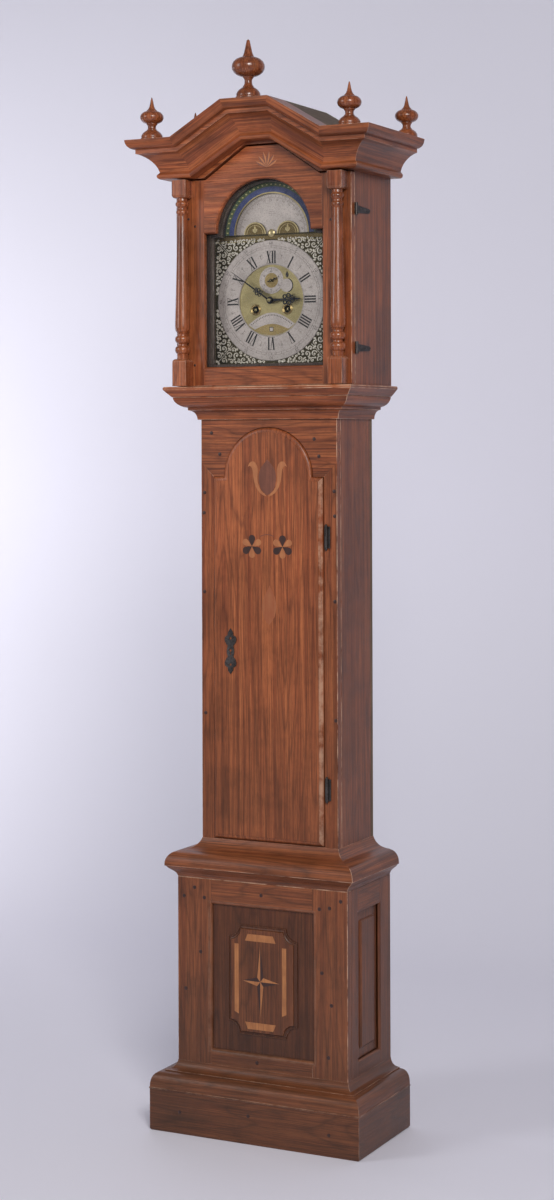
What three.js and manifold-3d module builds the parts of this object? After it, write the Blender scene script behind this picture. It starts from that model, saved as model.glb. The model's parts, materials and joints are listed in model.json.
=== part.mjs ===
// A grandfather clock: a tall case with a sliding hood, and a weight-driven movement inside it.
// Millimetres, +Z up, front towards -Y. The origin is at floor level, under the middle of the bounding box.
import * as THREE from "three";
import { mergeVertices } from "three/addons/utils/BufferGeometryUtils.js";
import Module from "manifold-3d";

const wasm = await Module();
wasm.setup();

// ---------------------------------------------------------------- driving sizes
const GAP = 0.3; // between pieces that touch
const PLAY = 1.2; // round a piece that opens or slides

const TRUNK_W = 356;
const TRUNK_D = 195.8; // back to front face
const BASE_STEP = 43.2; // how far the base stands out from the trunk
const SKIRT_OUT = 49.8; // how far the plinth skirt stands out from the base
const HOOD_STEP = 50.8; // how far the hood sides stand out from the trunk
const HOOD_FRONT_STEP = 26.2; // how far the hood door stands in front of the trunk
const LEDGE_OUT = 67; // how far the ledge under the hood stands out from the trunk
const CORNICE_OUT = 87.4; // how far the cornice stands out from the hood sides
const CORNICE_FRONT_OUT = 94.5; // how far the cornice stands out from the hood door

const SKIRT_H = 101.6;
const SKIRT_CAP_H = 58.4;
const BASE_H = 593.4; // floor to the top of the base
const WAIST_H = 88;
const TRUNK_H = 990.1;
const THROAT_H = 53.2;
const LEDGE_H = 24.3;
const HOOD_H = 491;
const CORNICE_H = 90;
const FINIAL_INSET = 27; // tip of the cornice to a finial's axis
const CENTRE_BULB_R = 38.3;
const CORNER_BULB_R = 27.7;
const PITCH_RISE = 79; // eaves to the flat top of the pediment
const PITCH_OUTER_X = 194; // where the pediment starts to rise
const PITCH_INNER_X = 61; // where it is flat again

const SIDE_T = 15; // trunk and hood side boards
const BASE_SIDE_T = 17;
const FRAME_T = 20; // base and trunk front frames
const BACK_T = 12;
const ROOF_T = 10;

const PANEL_STILE_W = 89.6; // base front frame: its stiles, and its rails above the skirt
const PANEL_SILL_H = 35;
const PANEL_HEAD_H = 59.4;
const SIDE_PANEL_HALF = 59;
const PANEL_SUNK = 9;
const FIELD_MARGIN = 44; // opening edge to the raised field
const FIELD_HOLLOW_R = 29; // scooped corners of the raised field
const FIELD_H = 5;

const DOOR_STILE_W = 33.7; // trunk front frame: its stiles, sill and head
const DOOR_SILL_H = 1.6;
const DOOR_HEAD_H = 134.5;
const DOOR_ARCH_R = 116;
const DOOR_PROUD = 8;
const DOOR_T = 20;
const DOOR_EDGE = 11; // moulded edge of the door
const TRUNK_HINGE_R = 4.2;
const TRUNK_HINGE_LEN = 52;
const TRUNK_HINGE_UP = 132; // foot of the door to the lower hinge
const TRUNK_HINGE_DOWN = 139; // the door's shoulder to the upper hinge

const LOCK_UP = 443; // foot of the door to the lock
const BOLT_TRAVEL = 7;
const BOLT_LEN = 34;
const BOLT_H = 16;
const BOLT_T = 7;

const HOOD_DOOR_T = 18;
const STILE_W = 75;
const HOOD_RAIL_H = 44.5;
const HOOD_ARCH_R = 123;
const HOOD_SHOULDER_UP = 360; // foot of the hood to the shoulders of its opening
const REBATE = 6;
const GLASS_T = 3;
const BLOCK = 36.5; // square blocks of the columns
const COLUMN_INSET = 26.2; // hood side to a column's axis
const BLOCK_LOW_H = 64;
const BLOCK_TOP_H = 43;
const HOOD_HINGE_R = 4;
const STRAP_LEN = 76;
const HOOD_HINGE_UP = [85, 403]; // foot of the hood to its door's hinges

const DIAL_SIZE = 305;
const DIAL_T = 3;
const DIAL_BACK_FROM_DOOR = 47; // hood door front to the dial's front face
const CENTRE_UP = 201.5; // foot of the hood to the dial's centre
const RING_MARGIN = 11; // dial's edge to the chapter ring
const RING_W = 57.5;
const ARCH_INSET = 22.5; // dial's edge to its arch
const ARCH_BAND = 35; // arch to the moon's window
const MOON_LAP = 4; // the moon disc behind the dial, past its window
const MOON_LIFT = 4; // moon's centre above the dial's square corners
const FEET = [[-72, -65.5], [72, -65.5], [-72, 63.5], [72, 63.5]]; // the dial's feet from its centre
const SECONDS_RISE = 47; // seconds hand above the centre
const WINDING_X = 41.3;
const WINDING_DROP = 21.1; // winding holes below the centre

const PLATE_HALF_W = 87;
const PLATE_T = 3;
const PLATES_Y = 38.7; // dial's front face to the front plate
const PLATE_GAP = 58; // between the plates
const SEAT_DROP = 84.5; // seat board below the centre
const SEAT_T = 18;
const PLATE_RISE = 101.5; // top of the plates above the centre
const ANCHOR_RISE = 33; // anchor arbor above the escape wheel

const PENDULUM_LEN = 994; // a seconds pendulum
const BOB_R = 55;
const BOB_T = 26;
const ROD_R = 2.5;
const BARREL_R = 22;
const LINE_R = 1;
const PULLEY_R = 20;
const PULLEY_UP = 46.6; // top of the base to the resting weights' pulleys
const WEIGHT_R = 29;
const WEIGHT_LEN = 230;

// ---------------------------------------------------------------- places worked out from them
const CASE_D = TRUNK_D + HOOD_FRONT_STEP + CORNICE_FRONT_OUT;
const BACK = (CASE_D + CENTRE_BULB_R - FINIAL_INSET) / 2; // the back is flat; the front ends at a finial
const TRUNK_HALF = TRUNK_W / 2;
const TRUNK_FRONT = BACK - TRUNK_D;
const BASE_HALF = TRUNK_HALF + BASE_STEP;
const BASE_FRONT = TRUNK_FRONT - BASE_STEP;
const HOOD_HALF = TRUNK_HALF + HOOD_STEP;
const HOOD_DOOR_FRONT = TRUNK_FRONT - HOOD_FRONT_STEP;
const HOOD_DOOR_BACK = HOOD_DOOR_FRONT + HOOD_DOOR_T;
const CORNICE_FACE = BACK - CASE_D + CORNICE_OUT; // the front that the cornice profile is measured from

const WAIST_Z = BASE_H;
const TRUNK_Z = WAIST_Z + WAIST_H;
const THROAT_Z = TRUNK_Z + TRUNK_H;
const LEDGE_Z = THROAT_Z + THROAT_H;
const HOOD_Z = LEDGE_Z + LEDGE_H;
const SOFFIT_Z = HOOD_Z + HOOD_H;
const EAVES_Z = SOFFIT_Z + CORNICE_H;
const RIDGE_Z = EAVES_Z + PITCH_RISE;
const PANEL_HALF_W = BASE_HALF - PANEL_STILE_W;
const PANEL_Z0 = SKIRT_H + SKIRT_CAP_H + PANEL_SILL_H;
const PANEL_Z1 = BASE_H - PANEL_HEAD_H;
const DOOR_HALF_W = TRUNK_HALF - DOOR_STILE_W;
const DOOR_Z0 = TRUNK_Z + DOOR_SILL_H;
const DOOR_SHOULDER_Z = THROAT_Z - DOOR_HEAD_H;
const TRUNK_HINGE_Z = [DOOR_Z0 + TRUNK_HINGE_UP, DOOR_SHOULDER_Z - TRUNK_HINGE_DOWN];
const LOCK_Z = DOOR_Z0 + LOCK_UP;
const HOOD_SHOULDER_Z = HOOD_Z + HOOD_SHOULDER_UP;
const HOOD_HINGE_Z = HOOD_HINGE_UP.map((up) => HOOD_Z + up);
const BLOCK_X = HOOD_HALF - COLUMN_INSET;
const MITRE = Math.tan(Math.atan(PITCH_RISE / (PITCH_OUTER_X - PITCH_INNER_X)) / 2);

const RING_OUTER_R = DIAL_SIZE / 2 - RING_MARGIN;
const RING_INNER_R = RING_OUTER_R - RING_W;
const ARCH_R = DIAL_SIZE / 2 - ARCH_INSET;
const MOON_WINDOW_R = ARCH_R - ARCH_BAND;
const MOON_R = MOON_WINDOW_R + MOON_LAP;
const CENTRE_Z = HOOD_Z + CENTRE_UP;
const MOON_Z = CENTRE_Z + DIAL_SIZE / 2 + MOON_LIFT;
const HUMP_X = (MOON_WINDOW_R * 43) / 95; // the two humps fill the foot of the moon's window
const HUMP_R = (MOON_WINDOW_R * 29) / 95;
const HOUR_HAND_LEN = RING_INNER_R - 2;
const MINUTE_HAND_LEN = RING_OUTER_R - 19.5;
const SEAT_TOP_Z = CENTRE_Z - SEAT_DROP;
const PLATE_TOP_Z = CENTRE_Z + PLATE_RISE;
const PULLEY_REST_Z = WAIST_Z + PULLEY_UP;
const DIAL_FRONT = HOOD_DOOR_FRONT + DIAL_BACK_FROM_DOOR;
const DIAL_BACK = DIAL_FRONT + DIAL_T;
const FRONT_PLATE = DIAL_FRONT + PLATES_Y; // its front face
const INSIDE = FRONT_PLATE + PLATE_T; // the space between the plates starts here
const BACK_PLATE = INSIDE + PLATE_GAP;
const BEHIND = BACK_PLATE + PLATE_T;
const ROD_Y = BEHIND + 18;
const LINE_Y = INSIDE + 28;
const WINDING_Z = CENTRE_Z - WINDING_DROP;
const SECONDS_Z = CENTRE_Z + SECONDS_RISE;
const ANCHOR_Z = SECONDS_Z + ANCHOR_RISE;
const BOB_Z = ANCHOR_Z - PENDULUM_LEN;
const LINE_TURN_R = PULLEY_R + LINE_R + GAP;
const LINE_WIND_R = BARREL_R + LINE_R + GAP;
const WEIGHT_SIDES = [["going", WINDING_X], ["strike", -WINDING_X]];

const Y_AXIS = new THREE.Vector3(0, 1, 0);
const Z_AXIS = new THREE.Vector3(0, 0, 1);
const X_AXIS = new THREE.Vector3(1, 0, 0);

// ---------------------------------------------------------------- solids
function makeSolid(positions, triangles) {
  const mesh = new wasm.Mesh({ numProp: 3, vertProperties: positions, triVerts: triangles });
  return new wasm.Manifold(mesh);
}

// A closed geometry as a solid that faces out.
function solid(geometry) {
  const bare = geometry.index ? geometry.toNonIndexed() : geometry;
  bare.deleteAttribute("normal");
  bare.deleteAttribute("uv");
  const merged = mergeVertices(bare, 1e-4);
  const positions = merged.attributes.position.array;
  const triangles = new Uint32Array(merged.index.array);
  const made = makeSolid(positions, triangles);
  if (made.volume() >= 0) return made;
  for (let i = 0; i < triangles.length; i += 3) {
    const first = triangles[i];
    triangles[i] = triangles[i + 1];
    triangles[i + 1] = first;
  }
  return makeSolid(positions, triangles);
}

const join = (...parts) => parts.reduce((all, next) => all.add(next));
const cut = (body, ...tools) => tools.reduce((left, tool) => left.subtract(tool), body);

// A block between two corners.
function block(x0, y0, z0, x1, y1, z1) {
  const box = new THREE.BoxGeometry(x1 - x0, y1 - y0, z1 - z0);
  box.translate((x0 + x1) / 2, (y0 + y1) / 2, (z0 + z1) / 2);
  return solid(box);
}

// A closed outline from a list of corners.
function outline(corners) {
  return new THREE.Shape(corners.map(([a, b]) => new THREE.Vector2(a, b)));
}

// An outline seen from the front, X across and Z up, made thick between two depths.
function board(shape, frontY, backY, curveSegments = 20) {
  const slab = new THREE.ExtrudeGeometry(shape, {
    depth: backY - frontY,
    bevelEnabled: false,
    curveSegments,
  });
  slab.rotateX(Math.PI / 2);
  slab.translate(0, backY, 0);
  return solid(slab);
}

// An outline seen from the side, Y across and Z up, made thick between two values of X.
function sideBoard(shape, x0, x1, curveSegments = 12) {
  const slab = new THREE.ExtrudeGeometry(shape, {
    depth: x1 - x0,
    bevelEnabled: false,
    curveSegments,
  });
  slab.applyMatrix4(new THREE.Matrix4().makeBasis(Y_AXIS, Z_AXIS, X_AXIS));
  slab.translate(x0, 0, 0);
  return solid(slab);
}

// A round bar along Y at a place seen from the front.
function barY(radius, frontY, backY, x = 0, z = 0, sides = 12) {
  const bar = new THREE.CylinderGeometry(radius, radius, backY - frontY, sides);
  bar.translate(x, (frontY + backY) / 2, z);
  return solid(bar);
}

// A round bar along Z.
function barZ(radius, z0, z1, x = 0, y = 0, sides = 12) {
  const bar = new THREE.CylinderGeometry(radius, radius, z1 - z0, sides);
  bar.rotateX(Math.PI / 2);
  bar.translate(x, y, (z0 + z1) / 2);
  return solid(bar);
}

// A turned piece standing on Z: its profile is a list of [radius, height].
function turned(profile, sides = 16) {
  const points = profile.map(([r, h]) => new THREE.Vector2(r, h));
  const piece = new THREE.LatheGeometry(points, sides);
  piece.rotateX(Math.PI / 2);
  return solid(piece);
}

// A turned piece whose axis lies along Y.
function turnedY(profile, sides = 24) {
  const points = profile.map(([r, y]) => new THREE.Vector2(r, y));
  return solid(new THREE.LatheGeometry(points, sides));
}

// A moulding: its profile, out and up, carried through a row of stations that each place a profile point.
function moulding(profile, stations, curveSegments = 8) {
  const runs = stations.length - 1;
  const strip = new THREE.ExtrudeGeometry(profile, {
    depth: runs,
    steps: runs,
    bevelEnabled: false,
    curveSegments,
  });
  const spots = strip.getAttribute("position");
  for (let i = 0; i < spots.count; i += 1) {
    const station = stations[Math.round(spots.getZ(i))];
    spots.setXYZ(i, ...station(spots.getX(i), spots.getY(i)));
  }
  return solid(strip);
}

// The stations of a moulding that runs round the two sides and the front of a rectangle.
function roundThreeSides(halfWidth, front) {
  return [
    (out, up) => [-halfWidth - out, BACK, up],
    (out, up) => [-halfWidth - out, front - out, up],
    (out, up) => [halfWidth + out, front - out, up],
    (out, up) => [halfWidth + out, BACK, up],
  ];
}

// ---------------------------------------------------------------- nodes
const clock = new THREE.Group();

const finishes = {
  oak: { color: 0x7a4526, roughness: 0.42, metalness: 0 },
  darkWood: { color: 0x3a2519, roughness: 0.6, metalness: 0 },
  pine: { color: 0x9a7a55, roughness: 0.8, metalness: 0 },
  brass: { color: 0xb59650, roughness: 0.35, metalness: 1 },
  silvered: { color: 0xb9b6ad, roughness: 0.4, metalness: 1 },
  steel: { color: 0x4a4d55, roughness: 0.35, metalness: 1 },
  iron: { color: 0x2b2928, roughness: 0.6, metalness: 1 },
  lead: { color: 0x77756f, roughness: 0.6, metalness: 1 },
  gut: { color: 0xc9b48a, roughness: 0.7, metalness: 0 },
  glass: { color: 0xdfe6e4, roughness: 0.05, metalness: 0, transparent: true, opacity: 0.3 },
};

function addNode(name, finish, made, x = 0, y = 0, z = 0) {
  const { vertProperties, triVerts, numProp } = made.getMesh();
  const geometry = new THREE.BufferGeometry();
  geometry.setAttribute("position", new THREE.BufferAttribute(new Float32Array(vertProperties), numProp));
  geometry.setIndex(new THREE.BufferAttribute(new Uint32Array(triVerts), 1));
  geometry.computeVertexNormals();
  const mesh = new THREE.Mesh(geometry, new THREE.MeshStandardMaterial(finishes[finish]));
  mesh.name = name;
  mesh.position.set(x, y, z);
  clock.add(mesh);
}

// ---------------------------------------------------------------- outlines shared by several pieces
function rectangle(halfWidth, z0, z1) {
  return outline([
    [-halfWidth, z0],
    [halfWidth, z0],
    [halfWidth, z1],
    [-halfWidth, z1],
  ]);
}

// A tall opening with square shoulders and a round arch, drawn oversize or undersize by grow.
function archedOutline(halfWidth, z0, shoulderZ, archR, grow = 0) {
  const shape = new THREE.Shape();
  const radius = archR + grow;
  const start = Math.asin(Math.max(grow, 0) / radius);
  const springX = radius * Math.cos(start);
  shape.moveTo(-halfWidth - grow, z0 - grow);
  shape.lineTo(halfWidth + grow, z0 - grow);
  shape.lineTo(halfWidth + grow, shoulderZ + grow);
  shape.lineTo(springX, shoulderZ + grow);
  shape.absarc(0, shoulderZ, radius, start, Math.PI - start, false);
  shape.lineTo(-springX, shoulderZ + grow);
  shape.lineTo(-halfWidth - grow, shoulderZ + grow);
  return shape;
}

// The pitched line of the pediment at a drop below its top edge, from left to right.
function pitchedLine(drop, halfWidth) {
  const outer = PITCH_OUTER_X - MITRE * drop;
  const inner = PITCH_INNER_X - MITRE * drop;
  return [
    [-halfWidth, EAVES_Z - drop],
    [-outer, EAVES_Z - drop],
    [-inner, RIDGE_Z - drop],
    [inner, RIDGE_Z - drop],
    [outer, EAVES_Z - drop],
    [halfWidth, EAVES_Z - drop],
  ];
}

// ---------------------------------------------------------------- base
function makeBase() {
  const front = BASE_FRONT;
  const frameBack = front + FRAME_T;
  const bottom = 12;
  const top = WAIST_Z - GAP;
  const frame = cut(
    board(rectangle(BASE_HALF, bottom, top), front, frameBack),
    board(rectangle(PANEL_HALF_W, PANEL_Z0, PANEL_Z1), front - 1, frameBack + 1),
  );
  addNode("base_front_frame", "oak", frame);

  const panelFront = front + PANEL_SUNK;
  const flat = board(
    rectangle(PANEL_HALF_W - GAP, PANEL_Z0 + GAP, PANEL_Z1 - GAP),
    panelFront,
    frameBack - 2,
  );
  const field = board(scoopedField(), panelFront - FIELD_H, panelFront + 1, 6);
  addNode("base_front_panel", "oak", join(flat, field));

  for (const [name, side] of [["base_side_left", -1], ["base_side_right", 1]]) {
    const inner = side * (BASE_HALF - BASE_SIDE_T);
    const outer = side * BASE_HALF;
    const y0 = frameBack + GAP;
    const middle = (front + BACK) / 2;
    const whole = block(Math.min(inner, outer), y0, bottom, Math.max(inner, outer), BACK, top);
    const sunk = side * (BASE_HALF - PANEL_SUNK);
    const recess = block(
      Math.min(sunk, outer + side), middle - SIDE_PANEL_HALF, PANEL_Z0,
      Math.max(sunk, outer + side), middle + SIDE_PANEL_HALF, PANEL_Z1,
    );
    const fieldTop = sunk + side * FIELD_H;
    const margin = FIELD_MARGIN / 2;
    const raised = block(
      Math.min(sunk - side, fieldTop), middle - SIDE_PANEL_HALF + margin, PANEL_Z0 + margin,
      Math.max(sunk - side, fieldTop), middle + SIDE_PANEL_HALF - margin, PANEL_Z1 - margin,
    );
    addNode(name, "oak", join(cut(whole, recess), raised));
  }

  const skirt = new THREE.Shape();
  const ovoloIn = SKIRT_OUT * 0.52;
  const coveOut = ovoloIn - 2.4;
  const ovoloTop = SKIRT_H + SKIRT_CAP_H * 0.59;
  skirt.moveTo(GAP, 0);
  skirt.lineTo(SKIRT_OUT - 3, 0);
  skirt.lineTo(SKIRT_OUT, 4);
  skirt.lineTo(SKIRT_OUT, SKIRT_H);
  skirt.quadraticCurveTo(SKIRT_OUT, ovoloTop, ovoloIn, ovoloTop);
  skirt.lineTo(coveOut, ovoloTop);
  skirt.lineTo(coveOut, ovoloTop + 2.6);
  skirt.quadraticCurveTo(3, ovoloTop + 2.6, GAP, SKIRT_H + SKIRT_CAP_H);
  addNode("plinth_skirt", "oak", moulding(skirt, roundThreeSides(BASE_HALF, BASE_FRONT)));
}

// The raised field of the base panel: a rectangle with scooped-out corners.
function scoopedField() {
  const halfW = PANEL_HALF_W - FIELD_MARGIN;
  const z0 = PANEL_Z0 + FIELD_MARGIN;
  const z1 = PANEL_Z1 - FIELD_MARGIN;
  const r = FIELD_HOLLOW_R;
  const shape = new THREE.Shape();
  shape.moveTo(-halfW + r, z0);
  shape.lineTo(halfW - r, z0);
  shape.absarc(halfW, z0, r, Math.PI, Math.PI / 2, true);
  shape.lineTo(halfW, z1 - r);
  shape.absarc(halfW, z1, r, -Math.PI / 2, -Math.PI, true);
  shape.lineTo(-halfW + r, z1);
  shape.absarc(-halfW, z1, r, 0, -Math.PI / 2, true);
  shape.lineTo(-halfW, z0 + r);
  shape.absarc(-halfW, z0, r, Math.PI / 2, 0, true);
  return shape;
}

// ---------------------------------------------------------------- trunk
const SEAT_Z = SEAT_TOP_Z - SEAT_T;
const TRUNK_FRAME_Z0 = BASE_H - 33; // the trunk stands down inside the base
const BOLT_FRONT = TRUNK_FRONT + 3.5;

function makeTrunk() {
  const frameBack = TRUNK_FRONT + FRAME_T;
  const mortice = block(
    -DOOR_HALF_W - BOLT_TRAVEL - 3, BOLT_FRONT - 0.5, LOCK_Z - BOLT_H / 2 - 0.5,
    -DOOR_HALF_W + 1, BOLT_FRONT + BOLT_T + 0.5, LOCK_Z + BOLT_H / 2 + 0.5,
  );
  const frame = cut(
    board(rectangle(TRUNK_HALF, TRUNK_FRAME_Z0, LEDGE_Z - GAP), TRUNK_FRONT, frameBack),
    board(
      archedOutline(DOOR_HALF_W, DOOR_Z0, DOOR_SHOULDER_Z, DOOR_ARCH_R),
      TRUNK_FRONT - 1,
      frameBack + 1,
    ),
    mortice,
  );
  addNode("trunk_front_frame", "oak", frame);

  for (const [name, side] of [["trunk_side_left", -1], ["trunk_side_right", 1]]) {
    const inner = side * (TRUNK_HALF - SIDE_T);
    const outer = side * TRUNK_HALF;
    addNode(name, "oak", block(
      Math.min(inner, outer), frameBack + GAP, TRUNK_FRAME_Z0,
      Math.max(inner, outer), BACK - BACK_T - GAP, SEAT_Z - GAP,
    ));
  }

  const backboard = outline([
    [-BASE_HALF + BASE_SIDE_T + GAP, 12],
    [BASE_HALF - BASE_SIDE_T - GAP, 12],
    [BASE_HALF - BASE_SIDE_T - GAP, WAIST_Z - GAP],
    [TRUNK_HALF, WAIST_Z - GAP],
    [TRUNK_HALF, HOOD_Z + PLAY],
    [HOOD_HALF - SIDE_T - PLAY, HOOD_Z + PLAY],
    [HOOD_HALF - SIDE_T - PLAY, EAVES_Z - 30],
    [-HOOD_HALF + SIDE_T + PLAY, EAVES_Z - 30],
    [-HOOD_HALF + SIDE_T + PLAY, HOOD_Z + PLAY],
    [-TRUNK_HALF, HOOD_Z + PLAY],
    [-TRUNK_HALF, WAIST_Z - GAP],
    [-BASE_HALF + BASE_SIDE_T + GAP, WAIST_Z - GAP],
  ]);
  addNode("backboard", "pine", board(backboard, BACK - BACK_T, BACK));

  const waist = new THREE.Shape();
  const lip = BASE_STEP + 23.5;
  waist.moveTo(GAP, WAIST_Z);
  waist.lineTo(BASE_STEP, WAIST_Z);
  waist.bezierCurveTo(BASE_STEP + 3, WAIST_Z + 14, lip - 10, WAIST_Z + 14, lip - 3, WAIST_Z + 25);
  waist.lineTo(lip, WAIST_Z + 26.5);
  waist.lineTo(lip, WAIST_Z + 30);
  waist.bezierCurveTo(lip, WAIST_Z + 47, lip - 11, WAIST_Z + 57, BASE_STEP + 3, WAIST_Z + 58.5);
  waist.lineTo(BASE_STEP - 2, WAIST_Z + 60);
  waist.quadraticCurveTo(8, WAIST_Z + 62, GAP, WAIST_Z + WAIST_H);
  addNode("waist_moulding", "oak", moulding(waist, roundThreeSides(TRUNK_HALF, TRUNK_FRONT)));

  const throat = new THREE.Shape();
  throat.moveTo(GAP, LEDGE_Z - GAP);
  throat.lineTo(GAP, THROAT_Z);
  throat.lineTo(6.5, THROAT_Z);
  throat.quadraticCurveTo(8, THROAT_Z + 21, 23.4, LEDGE_Z - 31);
  throat.lineTo(23.4, LEDGE_Z - 25);
  throat.lineTo(25.5, LEDGE_Z - 24.3);
  throat.bezierCurveTo(38, LEDGE_Z - 22, 48, LEDGE_Z - 13, 49.6, LEDGE_Z - 2);
  throat.lineTo(49.6, LEDGE_Z - GAP);
  addNode("throat_moulding", "oak", moulding(throat, roundThreeSides(TRUNK_HALF, TRUNK_FRONT)));

  const seat = block(
    -TRUNK_HALF, DIAL_BACK + 6, SEAT_Z,
    TRUNK_HALF, BACK - BACK_T - GAP, SEAT_TOP_Z,
  );
  const lineHoles = WEIGHT_SIDES.flatMap(([, windingX]) => [0, 2 * LINE_TURN_R].map((across) =>
    barZ(3, SEAT_Z - 1, SEAT_TOP_Z + 1, windingX - LINE_WIND_R + across, LINE_Y)));
  const rodSlot = block(-18, ROD_Y - 9, SEAT_Z - 1, 18, ROD_Y + 9, SEAT_TOP_Z + 1);
  addNode("seatboard", "pine", cut(seat, ...lineHoles, rodSlot));
}

const HINGE_X = DOOR_HALF_W + PLAY + TRUNK_HINGE_R + 2;
const HINGE_Y = TRUNK_FRONT - TRUNK_HINGE_R - 0.4;

function makeTrunkDoor() {
  const front = TRUNK_FRONT - DOOR_PROUD;
  const back = front + DOOR_T;
  const shape = archedOutline(DOOR_HALF_W, DOOR_Z0, DOOR_SHOULDER_Z, DOOR_ARCH_R, -PLAY);
  const inner = archedOutline(DOOR_HALF_W, DOOR_Z0, DOOR_SHOULDER_Z, DOOR_ARCH_R, -PLAY - DOOR_EDGE);
  const lockPocket = block(
    -DOOR_HALF_W, BOLT_FRONT - 0.5, LOCK_Z - BOLT_H / 2 - 0.5,
    -DOOR_HALF_W + PLAY + BOLT_LEN + 1, BOLT_FRONT + BOLT_T + 0.5, LOCK_Z + BOLT_H / 2 + 0.5,
  );
  const door = join(board(shape, TRUNK_FRONT - 1, back), board(inner, front, back - 1));
  addNode("trunk_door", "oak", cut(door, lockPocket));

  const boltX = -DOOR_HALF_W + PLAY + 0.5;
  addNode("lock_bolt", "iron", block(
    boltX, BOLT_FRONT, LOCK_Z - BOLT_H / 2,
    boltX + BOLT_LEN - 0.5, BOLT_FRONT + BOLT_T, LOCK_Z + BOLT_H / 2,
  ));

  addNode("keyhole_escutcheon", "iron", makeEscutcheon(front - GAP), -96, 0, LOCK_Z);

  const names = ["trunk_hinge_lower", "trunk_hinge_upper"];
  TRUNK_HINGE_Z.forEach((z, i) => {
    const half = TRUNK_HINGE_LEN / 2;
    const barrel = barZ(TRUNK_HINGE_R, -half, half, HINGE_X, HINGE_Y);
    const leaf = block(
      HINGE_X - 1, TRUNK_FRONT - GAP - 2, -half + 1,
      HINGE_X + 9, TRUNK_FRONT - GAP, half - 1,
    );
    addNode(names[i], "iron", join(barrel, leaf), 0, 0, z);
  });
}

// A pierced lock plate about its keyhole: a boss with scrolled arms above and below.
function makeEscutcheon(backY) {
  const front = backY - 1.6;
  const oval = new THREE.Shape();
  oval.absellipse(0, 0, 10, 17, 0, Math.PI * 2, false, 0);
  const arms = [-1, 1].map((side) => {
    const arm = new THREE.Shape();
    arm.moveTo(-4, side * 10);
    arm.bezierCurveTo(-18, side * 22, -20, side * 34, -7, side * 38);
    arm.bezierCurveTo(-8, side * 46, -4, side * 48, 0, side * 54);
    arm.bezierCurveTo(4, side * 48, 8, side * 46, 7, side * 38);
    arm.bezierCurveTo(20, side * 34, 18, side * 22, 4, side * 10);
    return board(arm, front, backY, 6);
  });
  const eyes = [-1, 1].map((side) => barY(3, front - 1, backY + 1, 0, side * 31, 8));
  const plate = join(board(oval, front, backY, 8), ...arms);
  const keyhole = join(
    barY(3, front - 1, backY + 1, 0, 3, 10),
    block(-1.4, front - 1, -8, 1.4, backY + 1, 3),
  );
  return cut(plate, keyhole, ...eyes);
}

// ---------------------------------------------------------------- hood
const DOOR_TOP_DROP = 4; // hood door below the soffit
const DOOR_TOP_OUTER_X = 150;
const DOOR_TOP_INNER_X = 42;
const DOOR_TOP_RISE = 72.5;

// The pitched upper edge of the hood door, lifted by a given amount.
function hoodDoorTop(halfWidth, lift) {
  const low = SOFFIT_Z - DOOR_TOP_DROP + lift;
  return [
    [halfWidth, low],
    [DOOR_TOP_OUTER_X, low],
    [DOOR_TOP_INNER_X, low + DOOR_TOP_RISE],
    [-DOOR_TOP_INNER_X, low + DOOR_TOP_RISE],
    [-DOOR_TOP_OUTER_X, low],
    [-halfWidth, low],
  ];
}

// The cornice profile: out from the hood, and down from its top edge.
function corniceProfile() {
  const out = CORNICE_OUT;
  const shape = new THREE.Shape();
  shape.moveTo(GAP, 0);
  shape.lineTo(out, 0);
  shape.quadraticCurveTo(out - 1, 17, out - 14.5, 21.4);
  shape.lineTo(out - 19.2, 22.4);
  shape.lineTo(out - 19.2, 31.8);
  shape.bezierCurveTo(out - 30, 33, out - 56, 48, out - 61.4, 74);
  shape.lineTo(out - 58, 78);
  shape.bezierCurveTo(out - 55, 81, out - 55, 85, out - 58, 88);
  shape.lineTo(out - 62, CORNICE_H);
  shape.lineTo(GAP, CORNICE_H);
  return shape;
}

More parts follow.
